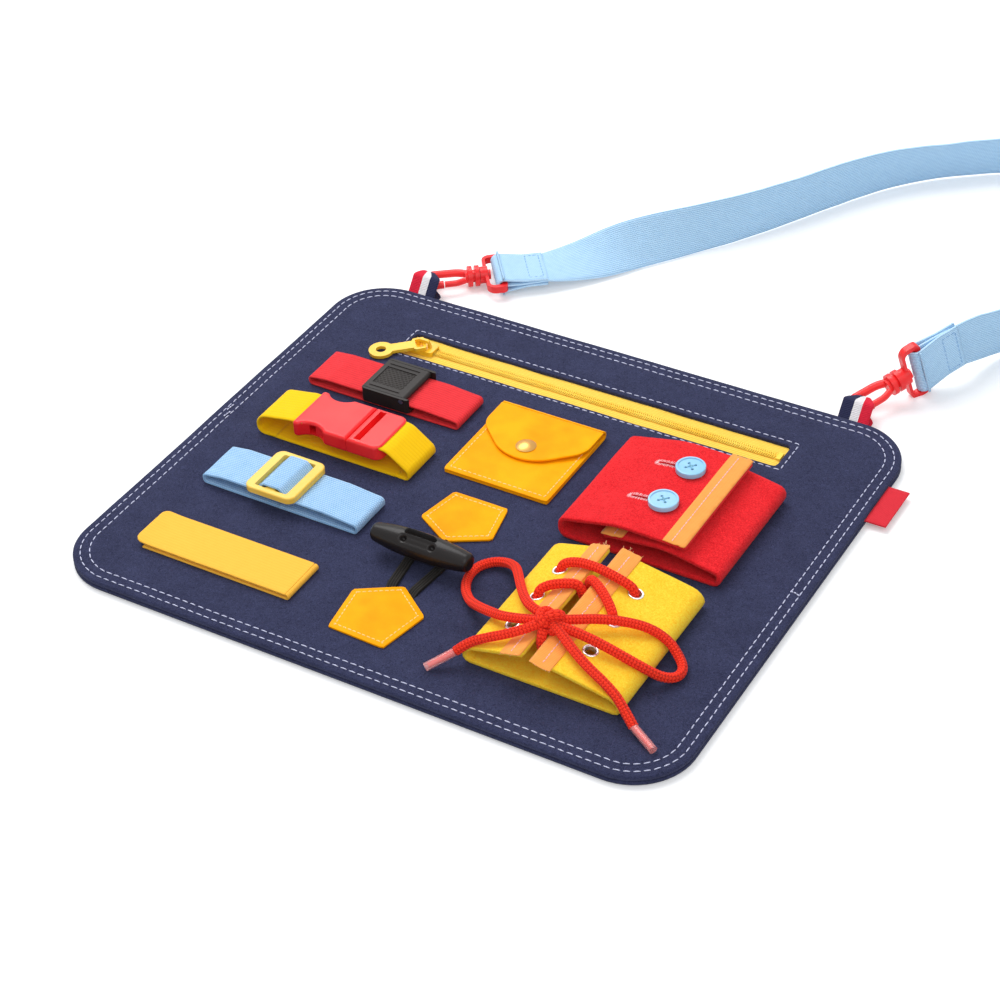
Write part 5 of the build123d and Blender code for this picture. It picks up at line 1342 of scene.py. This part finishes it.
def ribbon_seam(bend, u, v_low, v_high, seed, sway=0.03):
    """A seam of pinkish thread along a ribbon."""
    line = [Vector((u, v)) for v in np.arange(v_low, v_high, 0.8)]
    return seam(line, lambda a, b, h: bend(a, b, -h), RIBBON + 0.04, RIBBON_STITCH, seed,
                sway=sway)


sewn("coat_ribbon_stitches",
     [ribbon_seam(coat_bend, coat_length - 6.6, COAT_FRONT + 0.6, COAT_BACK - 0.6, 33),
      ribbon_seam(coat_bend, 6.0, COAT_FRONT + 0.6, COAT_BACK - 0.6, 34)],
     pink_thread, "board", "white_thread")


# The buttons: pale blue four-hole buttons on thread shanks, each crossed by its own thread.
BUTTON_FACE = 24.05
BUTTON_HOLE = 1.6
BUTTON_STITCH = (4.6, 4.5, 0.45)

button_gloss = {"Coat Weight": 0.25, "Coat Roughness": 0.1, "Subsurface Weight": 0.1}
dressed(moulded("pale blue button", (124, 188, 226), (154, 206, 238), 0.22, 0.0, 300.0,
                button_gloss), "button_upper", "button_lower")
blue_thread = thread("blue thread", (96, 160, 190), (150, 204, 226))
dressed(blue_thread, "button_shanks")


def button_cross(y, seed):
    """Two crossing stitches through a button's four holes."""
    def lie(u, v, h):
        return (BUTTON_X + u, y + v, BUTTON_FACE + h)

    seams = []
    for way in (1, -1):
        for aside in (-0.25, 0.25):
            line = [(-BUTTON_HOLE, aside - way * BUTTON_HOLE),
                    (BUTTON_HOLE, aside + way * BUTTON_HOLE)]
            seams.append(seam(line, lie, 0.0, BUTTON_STITCH, seed, lift=0.6))
    return seams


for name, y in (("button_upper", BUTTONS_Y[0]), ("button_lower", BUTTONS_Y[1])):
    sewn(f"{name}_thread", button_cross(y, 41), blue_thread, name, "white_thread")


# The shoe: yellow felt wrapped into a flat sleeve with a slit along its top, orange ribbons
# along both lips and six eyelets for the lace, thin rings of nickelled brass rolled over
# both faces of the felt.
SHOE_FRONT = -97.5
SHOE_BACK = -22.0
LIP_LEFT = 70.6
LIP_RIGHT = 75.4
SHOE_LINE = (
    (LIP_LEFT, BOARD_TOP + 15.5), (44.0, BOARD_TOP + 8.6), (40.0, BOARD_TOP),
    (118.0, BOARD_TOP), (113.0, BOARD_TOP + 8.6), (LIP_RIGHT, BOARD_TOP + 15.5),
)
EYELETS_X = (56.5, 92.5)
EYELETS_Y = (-40.5, -60.0, -80.0)
EYELET_HOLE = 2.9
RIBBON_WIDTH = 9.6

yellow_felt = felt("yellow felt", (253, 184, 22), (255, 227, 72), 0.36, 850.0)
shoe_bend, shoe_length = sleeve(SHOE_LINE, (7.0, 3.6, 3.6, 7.0), 1)


def shoe_outer(u, v, h):
    """The shoe's fold with h rising from its inner face."""
    return shoe_bend(u, v, FELT - h)


EYELET = (
    (2.35, 0.0), (2.35, FELT - 0.1), (2.5, FELT + 0.3), (2.85, FELT + 0.48), (3.25, FELT + 0.36),
    (3.5, FELT + 0.05), (3.3, FELT - 0.1), (2.8, FELT - 0.1), (2.8, 0.1), (3.3, 0.1), (3.5, -0.05),
    (3.2, -0.4), (2.6, -0.4),
)
eyelet_silver = moulded("eyelet silver", (222, 224, 228), (246, 247, 249), 0.24, 0.01, 600.0,
                        {"Metallic": 0.85})


def eyelet_rim(name, u, y):
    """One eyelet: its profile turned round a hole of the cut, with both rolled rims."""
    sides = 36
    verts = []
    for turn in np.linspace(0, 2 * math.pi, sides + 1)[:-1]:
        for reach, level in EYELET:
            verts.append(shoe_outer(u + reach * math.cos(turn), y + reach * math.sin(turn),
                                    level))
    rows = numbered(sides, len(EYELET))
    faces = faces_between(rows + rows[:1], turned=True)
    finished(name, verts, faces, eyelet_silver, "board", slot="silver_eyelet",
             replaced=["eyelets"] if name == "eyelet_1" else ())


def down_slope(x, lip, foot):
    """How far from a lip of the sleeve the point at x lies, down the slope to its foot."""
    return abs(x - lip[0]) * (math.dist(lip, foot) / abs(lip[0] - foot[0]))


def shoe_felt_piece():
    """The felt with its eyelet holes."""
    left = down_slope(EYELETS_X[0], SHOE_LINE[0], SHOE_LINE[1])
    right = shoe_length - down_slope(EYELETS_X[1], SHOE_LINE[5], SHOE_LINE[4])
    holes = []
    for u in (left, right):
        for y in EYELETS_Y:
            holes.append([(u + EYELET_HOLE * math.cos(t), y + EYELET_HOLE * math.sin(t))
                          for t in np.linspace(0, 2 * math.pi, 20)[:-1]])
            eyelet_rim(f"eyelet_{len(holes)}", u, y)
    middle = (SHOE_BACK + SHOE_FRONT) / 2
    outline = rounded_rectangle(shoe_length, SHOE_BACK - SHOE_FRONT, 0.8,
                                (shoe_length / 2, middle), 0.5)
    cut_piece("shoe_yellow_felt", outline, FELT, shoe_outer, yellow_felt, "board", 2.2, holes,
              edge=0.5, replaced=["shoe_felt"], slot="yellow_felt")


shoe_felt_piece()
ribbon_on("shoe_ribbon_left", shoe_bend, -0.15, RIBBON_WIDTH, SHOE_FRONT - 1.2,
          SHOE_BACK + 0.6, 35, ["shoe_ribbons"])
ribbon_on("shoe_ribbon_right", shoe_bend, shoe_length - RIBBON_WIDTH, shoe_length + 0.15,
          SHOE_FRONT - 2.4, SHOE_BACK + 1.6, 36)
sewn("shoe_ribbon_stitches",
     [ribbon_seam(shoe_bend, 5.0, SHOE_FRONT + 0.2, SHOE_BACK - 0.6, 37, 0.12),
      ribbon_seam(shoe_bend, shoe_length - 5.0, SHOE_FRONT, SHOE_BACK - 0.6, 38, 0.12)],
     pink_thread, "board", "white_thread")


def frayed_ends():
    """Loose threads at the ribbons' cut ends."""
    draw = random.Random(5)
    strands = []
    for u_low, v, way in (
        (shoe_length - RIBBON_WIDTH, SHOE_BACK + 1.2, 1), (0.2, SHOE_BACK, 1),
        (shoe_length - RIBBON_WIDTH, SHOE_FRONT - 1.8, -1), (0.2, SHOE_FRONT - 0.8, -1),
    ):
        for _ in range(6):
            u = u_low + draw.uniform(0.2, RIBBON_WIDTH - 0.2)
            reach = draw.uniform(0.8, 3.0)
            curl = draw.uniform(-1.2, 1.2)
            rise = draw.uniform(0.0, 1.4)
            line = []
            for t in np.linspace(0, 1, 6):
                line.append(Vector(shoe_bend(u + curl * t * t, v + way * (reach * t - 0.5),
                                             -0.3 - rise * t * t)))
            strands.append(tube_mesh(line, 0.08, 4)[:2])
    loose = thread("loose orange fibres", (255, 176, 112), (255, 214, 168))
    finished("shoe_ribbon_fray", *joined(strands), loose, "board", slot="orange_ribbon")


frayed_ends()

# The lace: round knitted cord, red-orange, 4.2 mm thick. It crosses the eyelets and the slit,
# and is tied in a bow: two loops, two tails with clear tips, and a lumpy knot.
LACE = 4.2
CROSSINGS = [
    (73.0, -75.5, 23.5), (73.0, -71.5, 20.5), (72.8, -70.0, 13.6), (65.5, -66.0, 10.6),
    (58.0, -60.8, 10.4), (56.4, -59.8, 18.8), (59.5, -56.6, 21.2), (66.0, -53.4, 22.5),
    (72.3, -51.2, 22.6), (73.2, -50.6, 14.0), (80.0, -46.2, 10.4), (91.0, -41.0, 10.6),
    (92.6, -40.4, 19.4), (85.5, -40.6, 22.4), (73.0, -39.2, 23.6), (62.5, -38.4, 21.9),
    (56.4, -40.2, 18.8), (57.6, -40.9, 10.4), (66.0, -42.6, 10.6), (72.6, -44.4, 14.0),
    (73.6, -45.4, 22.6), (80.5, -49.6, 23.0), (88.0, -55.4, 21.4), (92.5, -59.8, 18.6),
    (91.0, -61.5, 10.4), (83.0, -74.0, 10.4), (74.4, -85.2, 11.6), (73.2, -87.2, 19.6),
    (73.0, -83.5, 23.6),
]
LEFT_BOW = [
    (70.5, -77.4, 25.0), (64.0, -75.6, 24.4), (56.4, -69.6, 22.2), (48.5, -59.6, 19.4),
    (41.6, -49.8, 16.4), (35.8, -42.6, 12.0), (29.6, -38.4, 8.4), (23.4, -39.2, 7.2),
    (18.9, -44.6, 7.0), (18.3, -52.2, 7.0), (21.3, -60.2, 7.1), (28.0, -67.4, 8.2),
    (35.4, -72.8, 12.4), (43.0, -77.6, 16.8), (52.0, -81.2, 20.2), (61.4, -82.0, 23.2),
    (70.0, -81.0, 25.0),
]
RIGHT_BOW = [
    (76.5, -77.4, 25.0), (82.0, -73.6, 24.6), (89.4, -67.2, 23.0), (97.8, -61.4, 20.6),
    (107.0, -57.4, 18.0), (115.4, -56.2, 13.8), (121.4, -58.2, 8.8), (125.8, -62.6, 7.0),
    (125.6, -68.4, 7.0), (121.2, -72.8, 8.8), (114.6, -76.2, 14.0), (105.6, -77.8, 18.2),
    (96.0, -78.2, 21.0), (86.4, -79.4, 23.8), (77.5, -80.6, 25.2),
]
LEFT_TAIL = [
    (72.6, -80.8, 25.4), (67.4, -86.4, 24.0), (60.4, -90.8, 21.4), (52.6, -94.0, 18.8),
    (45.4, -96.8, 15.6), (41.0, -100.2, 11.4),
]
RIGHT_TAIL = [
    (76.4, -80.8, 25.4), (82.4, -84.0, 23.8), (89.8, -88.2, 21.8), (98.2, -91.8, 19.6),
    (106.4, -94.4, 17.6), (113.4, -96.8, 14.8), (119.2, -99.8, 10.6), (123.8, -102.6, 8.0),
]
TIPS = {"left": (32.2, -109.8, 6.7), "right": (136.6, -109.8, 6.7)}
KNOT = (74.0, -79.4, 25.6)
KNOT_SIZE = 1.5
KNOT_POINTS = 160
KNIT_COLUMNS = 8
KNIT_PITCH = 1.45
KNIT_SLANT = 1.3


def knit_pattern():
    """Columns of slanted stitches round the cord, each column leaning against the next.
    Its Shade paints shade into the gaps between stitches and columns.
    """
    tree, given, last = pattern_group("knitted cord")
    mark = node(tree, "SeparateXYZ", given["Vector"]).outputs
    run = worked(tree, "MULTIPLY", mark["X"], 1000.0)
    column = worked(tree, "MULTIPLY", mark["Y"], 1000.0)
    inside = worked(tree, "PINGPONG", column, 0.5)
    wave = worked(tree, "MULTIPLY_ADD", inside, KNIT_SLANT, run)
    stitch = worked(tree, "FRACT", worked(tree, "DIVIDE", wave, KNIT_PITCH))
    edge = worked(tree, "POWER", humps(tree, column), 0.5)
    level = worked(tree, "MULTIPLY", humps(tree, stitch), edge)
    fuzz = node(tree, "TexNoise", Vector=given["Vector"], Scale=900.0, Detail=4.0).outputs["Fac"]
    # Painted shade: the colour follows the stitches' relief, dark in the gaps between them.
    shade = worked(tree, "MULTIPLY_ADD", fuzz, 0.2, worked(tree, "MULTIPLY", level, 0.8))
    set_sockets(tree, last, {"Shade": shade, "Height": level})
    return tree


soft_cord = {"Roughness": 0.75, "Specular IOR Level": 0.1, "Sheen Weight": 0.06,
             "Sheen Roughness": 0.4}
# The lace's dark red is painted shade in the gaps between its stitches.
lace_knit = shaded_material("red lace", knit_pattern(), (204, 20, 10), (255, 62, 40), 0.3,
                            soft_cord, (0.1, 0.5), on_cut=True)


def spline_line(name, points, resolution):
    """The close points, in millimetres, of a smooth free cord through control points."""
    curve = bpy.data.curves.new(name, "CURVE")
    curve.dimensions = "3D"
    curve.resolution_u = resolution
    spline = curve.splines.new("NURBS")
    spline.points.add(len(points) - 1)
    for point, place in zip(spline.points, points):
        point.co = (*(Vector(place[:3]) * MM), 1)
    spline.order_u = 3
    spline.use_endpoint_u = True
    holder = bpy.data.objects.new(name, curve)
    bpy.context.collection.objects.link(holder)
    bpy.context.view_layer.update()
    line = bpy.data.meshes.new_from_object(holder)
    close = [v.co / MM for v in line.vertices]
    bpy.data.objects.remove(holder)
    bpy.data.meshes.remove(line)
    return close


def knit_relief(run, turn):
    """The cord's radius: raised slanted stitches in columns."""
    column = turn / (2 * math.pi) * KNIT_COLUMNS
    inside = abs((column % 1.0) - 0.5)
    stitch = ((run + KNIT_SLANT * (0.5 - inside)) / KNIT_PITCH) % 1.0
    level = math.sin(math.pi * stitch) * math.sqrt(abs(math.sin(math.pi * column)))
    return LACE / 2 * (0.93 + 0.09 * level)


def even_run(line, step, closed_ring=False):
    """Points at even steps along a line in space."""
    points = line + [line[0]] if closed_ring else line
    even = even_line(points, step)
    length = reach_along(np.array([tuple(p) for p in points]))[-1]
    return (even[:-1] if closed_ring else even), length


def knitted(name, line, replaced, closed_ring=False):
    """A length of lace along a line."""
    close, length = even_run(line, 0.36, closed_ring)
    verts, faces, marks = tube_mesh(close, knit_relief, 32, closed_ring)
    uvs = [(run, turn / (2 * math.pi) * KNIT_COLUMNS) for run, turn in marks]
    made = finished(name, verts, faces, lace_knit, "board", uvs, replaced, slot="red_lace")
    return made, close, length


def lace_run(name, route, replaced=()):
    """A length of lace along a route."""
    line = spline_line(name, route, 12)
    made, close, length = knitted(name, line, replaced)
    tuple(Vector(route[0]) * MM)
    [p * MM for p in close]


def knot_line():
    """The bow's knot: a cord that winds three times round its own middle."""
    turned = Matrix.Rotation(math.radians(24), 3, "Z") @ Matrix.Rotation(math.radians(68), 3, "X")
    line = []
    for i in range(KNOT_POINTS):
        t = 2 * math.pi * i / KNOT_POINTS
        place = Vector((math.sin(t) + 2 * math.sin(2 * t), math.cos(t) - 2 * math.cos(2 * t),
                        -1.35 * math.sin(3 * t)))
        line.append(turned @ (place * KNOT_SIZE) + Vector(KNOT))
    return line


knot_piece = knitted("lace_bow_knot", knot_line(), ["lace_knot"], True)[0]
lace_run("lace_crossings", CROSSINGS, ["lace"])
lace_run("lace_left_loop", LEFT_BOW)
lace_run("lace_right_loop", RIGHT_BOW)
clear = {"Alpha": 0.4, "Coat Weight": 0.8, "Coat Roughness": 0.08}
dressed(moulded("clear plastic", (250, 150, 146), (255, 176, 172), 0.15, 0.0, 300.0, clear),
        "aglet_left", "aglet_right")
bound_red = moulded("bound red lace", (216, 30, 28), (242, 54, 46), 0.6, 0.1, 500.0)
for side, route in (("left", LEFT_TAIL), ("right", RIGHT_TAIL)):
    start = Vector(route[-1])
    way = (Vector(TIPS[side]) - start).normalized()
    inner = [start + way * s for s in np.linspace(-0.5, 12.6, 18)]
    verts, faces, _ = tube_mesh(inner, lambda run, turn: 1.35 - 0.03 * run, 16)
    core = finished(f"lace_{side}_core", verts, faces, bound_red, "board", slot="red_lace")
    lace_run(f"lace_{side}_tail", route)


# The side label: a small folded red tab, woven and bare, sewn into the right edge.
label_weave = webbing("label weave", (180, 24, 38), (222, 50, 62), 0.6, 0.6, 1.0, 0.5, 0.1)
label_line = rounded_path(((145.0, 2.35), (160.0, 2.35), (160.0, 3.15), (145.0, 3.15)),
                          (0.38, 0.38), 0.12)
swept("folded_label", *standing(label_line, 77.5, -1), 27.0, 0.34, label_weave, "board",
      ["side_label"], "red_tape", sway=0.1)


# The two ribbon tabs: striped red, white and navy, looped and sewn into the far edge, each
# gathered to a narrow end where its hook holds it.
TAB_WIDTH = 15.0
TAB_EDGE = 127.5
TAB_PULL = {"left": (-116.5, -114.6, 4.6), "right": (116.5, 115.4, 3.4)}


def stripe_pattern():
    """The place across the ribbon, from 0 to 1, with fine ribs across its run."""
    tree, given, last = pattern_group("striped ribbon")
    place = node(tree, "SeparateXYZ", given["Vector"]).outputs
    share = worked(tree, "MULTIPLY_ADD", place["Y"], 1000 / TAB_WIDTH, 0.5)
    ribs = humps(tree, worked(tree, "MULTIPLY", place["X"], 1000 / 0.8))
    set_sockets(tree, last, {"Shade": share, "Height": ribs})
    return tree


striped = stripe_pattern()


def striped_material(name, first, last):
    """Three even bands across the ribbon, the middle one white."""
    made = shaded_material(name, striped, first, last, 0.18, soft_cord, (0.0, 0.62), on_cut=True)
    ramp = next(n for n in made.node_tree.nodes if n.type == "VALTORGB").color_ramp
    ramp.interpolation = "CONSTANT"
    white = ramp.elements.new(0.34)
    white.color = srgb(236, 232, 234)
    return made


ribbon_stripes = {
    "left": striped_material("ribbon from navy to red", (46, 48, 78), (222, 38, 62)),
    "right": striped_material("ribbon from red to navy", (222, 38, 62), (46, 48, 78)),
}


def tab_loop(side):
    """One loop, its end drawn together and aside to the hook."""
    x, end_x, end_width = TAB_PULL[side]
    points = (
        (119.6, 3.5), (TAB_EDGE + 0.2, 3.5), (TAB_EDGE + 6.4, 11.1), (TAB_EDGE + 13.9, 11.1),
        (TAB_EDGE + 13.9, 0.2), (TAB_EDGE + 4.0, 0.2), (TAB_EDGE + 0.2, 2.35), (119.6, 2.35),
    )
    line = rounded_path(points, (0.9, 2.6, 3.9, 3.9, 2.6, 0.6), 0.5, 1.2)
    drawn = []
    for p in line:
        part = smooth_step(TAB_EDGE + 6.5, TAB_EDGE + 13.5, p.x)
        drawn.append(((end_x - x) * part, 1 - part * (1 - end_width / TAB_WIDTH)))
    places = [Vector((x, p.x, p.y)) for p in line]
    ups = [Vector((0, -way.y, way.x)).normalized() for way in ways_of(line)]
    swept(f"tab_{side}_ribbon", places, ups, TAB_WIDTH, 0.6, ribbon_stripes[side], "board",
          [f"tab_{side}"], "striped_ribbon", gather=lambda i: drawn[i], sway=0.12,
          seed=6.0)


for side in ("left", "right"):
    tab_loop(side)


# The hooks, their gates and the eyes: bright red acetal, smooth but for faint flow marks.
red_plastic = moulded("red hook plastic", (232, 30, 36), (248, 46, 48), 0.34, 0.02, 260.0, gloss)
dressed(red_plastic, "hook_left", "hook_right", "gate_left", "gate_right", "strap_eye_left",
        "strap_eye_right")


# The shoulder strap: light blue ribbed webbing that lies in one wide loose loop, on edge over
# most of its way, its two ends folded round the eyes' bars and sewn.
STRAP_WIDTH = 25.0
STRAP_THICKNESS = 1.4
EYE_BAR = 39.7
DOUBLE_RUN = 22.0
WRAP_INSIDE = 2.64
HOOK_PAST_TAB = 7.2
FOLD_GAP = 0.7
STRAP_STITCH = (2.6, 1.9, 0.5)
HOOKS = {
    "left": ((-114.6, 140.9, 5.7), 38.0, 0.0, 0.0),
    "right": ((115.4, 140.9, 5.7), 55.5, 17.0, 90.0),
}
STRAP_ROUTE = [
    (-55.0, 190.5, 6.8, 22), (-39.0, 208.0, 10.8, 52), (-17.0, 231.0, 12.4, 74),
    (3.0, 256.0, 12.9, 84), (19.0, 282.0, 13.0, 90), (33.0, 307.0, 13.0, 92),
    (49.0, 331.0, 13.0, 98), (71.0, 352.0, 12.8, 106), (97.0, 371.0, 12.8, 104),
    (126.0, 387.0, 12.9, 98), (159.0, 399.0, 13.0, 92), (195.0, 404.0, 13.0, 90),
    (230.0, 399.0, 13.0, 90), (259.0, 382.0, 13.0, 90), (276.0, 354.0, 13.0, 90),
    (275.0, 323.0, 13.0, 90), (257.0, 298.0, 13.0, 90), (231.0, 280.0, 13.0, 90),
    (204.0, 265.0, 13.0, 90), (181.0, 247.0, 13.0, 90), (163.0, 226.0, 13.4, 90),
    (150.5, 204.0, 15.6, 90),
]

strap_weave = webbing("shoulder webbing", (136, 188, 232), (192, 226, 252), 1.0, 1.2, 0.5,
                      0.75, 0.3)


def hook_axes(side):
    """A hook's tip, its direction, and the direction its flat side faces."""
    end, bearing, rise, roll = HOOKS[side]
    bearing, rise, turn = (math.radians(a) for a in (bearing, rise, roll))
    along = Vector((
        math.cos(bearing) * math.cos(rise), math.sin(bearing) * math.cos(rise), math.sin(rise)
    ))
    across = Vector((-math.sin(bearing), math.cos(bearing), 0))
    normal = along.cross(across) * math.cos(turn) + across * math.sin(turn)
    return Vector(end) - along * HOOK_PAST_TAB, along, normal


def shoulder_band():
    """The strap's band from one eye's bar to the other's."""
    ends = {}
    for side in ("left", "right"):
        tip, along, normal = hook_axes(side)
        ends[side] = (tip + along * EYE_BAR, tip + along * (EYE_BAR + DOUBLE_RUN), normal)
    route = [tuple(ends["left"][0]), tuple(ends["left"][1])] + STRAP_ROUTE
    route += [tuple(ends["right"][1]), tuple(ends["right"][0])]
    leans = [0, 0] + [p[3] for p in STRAP_ROUTE] + [90, 90]
    line = spline_line("strap route", route, 8)
    reach = [0.0]
    for a, b in zip(route, route[1:]):
        reach.append(reach[-1] + math.dist(a[:3], b[:3]))
    close, length = even_run(line, 1.7)
    ups = []
    for i, ahead in enumerate(ways_of(close)):
        lean = math.radians(np.interp(i / (len(close) - 1) * reach[-1], reach, leans))
        flat = Vector((-ahead.y, ahead.x, 0)).normalized()
        wide = flat * math.cos(lean) + Vector((0, 0, 1)) * math.sin(lean)
        ups.append(ahead.normalized().cross(wide).normalized())
    raised = [p + face * STRAP_THICKNESS / 2 for p, face in zip(close, ups)]
    band = swept("shoulder_strap_band", raised, ups, STRAP_WIDTH, STRAP_THICKNESS,
                 strap_weave, "board", ["shoulder_strap"], "light_blue_webbing", across=14,
                 sway=0.25, seed=9.0)
    [p * MM for p in close]


def strap_fold(side):
    """The end of the strap: round the bar, back along itself and sewn down."""
    tip, along, normal = hook_axes(side)
    across = normal.cross(along)
    outside = WRAP_INSIDE + STRAP_THICKNESS
    level = FOLD_GAP + STRAP_THICKNESS
    upper = [(DOUBLE_RUN, level), (3 * outside, level), (0.0, outside), (-outside, outside)]
    points = upper + [(x, -z) for x, z in upper[::-1]]
    line = rounded_path(points, (12.0, 12.0, outside - 0.05, outside - 0.05, 12.0, 12.0), 0.5)
    bar = tip + along * EYE_BAR
    places = [bar + along * p.x + normal * p.y for p in line]
    ups = [(along * way.y - normal * way.x).normalized() for way in ways_of(line)]
    swept(f"strap_fold_{side}", places, ups, STRAP_WIDTH, STRAP_THICKNESS, strap_weave,
          "board", slot="light_blue_webbing", across=14, sway=0.15)
    seams = []
    for face in (1, -1):
        def lie(u, v, h, face=face):
            return tuple(bar + along * u + across * v + normal * face * (level + 0.05 + h))

        half = STRAP_WIDTH / 2 - 2.5
        box = [(DOUBLE_RUN - 2, -half), (DOUBLE_RUN - 2, half), (DOUBLE_RUN - 9, half),
               (DOUBLE_RUN - 9, -half), (DOUBLE_RUN - 2, -half)]
        seams.append(seam(even_line(box, 0.8), lie, 0.0, STRAP_STITCH, 51))
    sewn(f"strap_fold_{side}_stitches", seams, strap_thread, "board", "white_thread")


strap_thread = thread("strap thread", (92, 150, 204), (168, 206, 240))
shoulder_band()
for side in ("left", "right"):
    strap_fold(side)
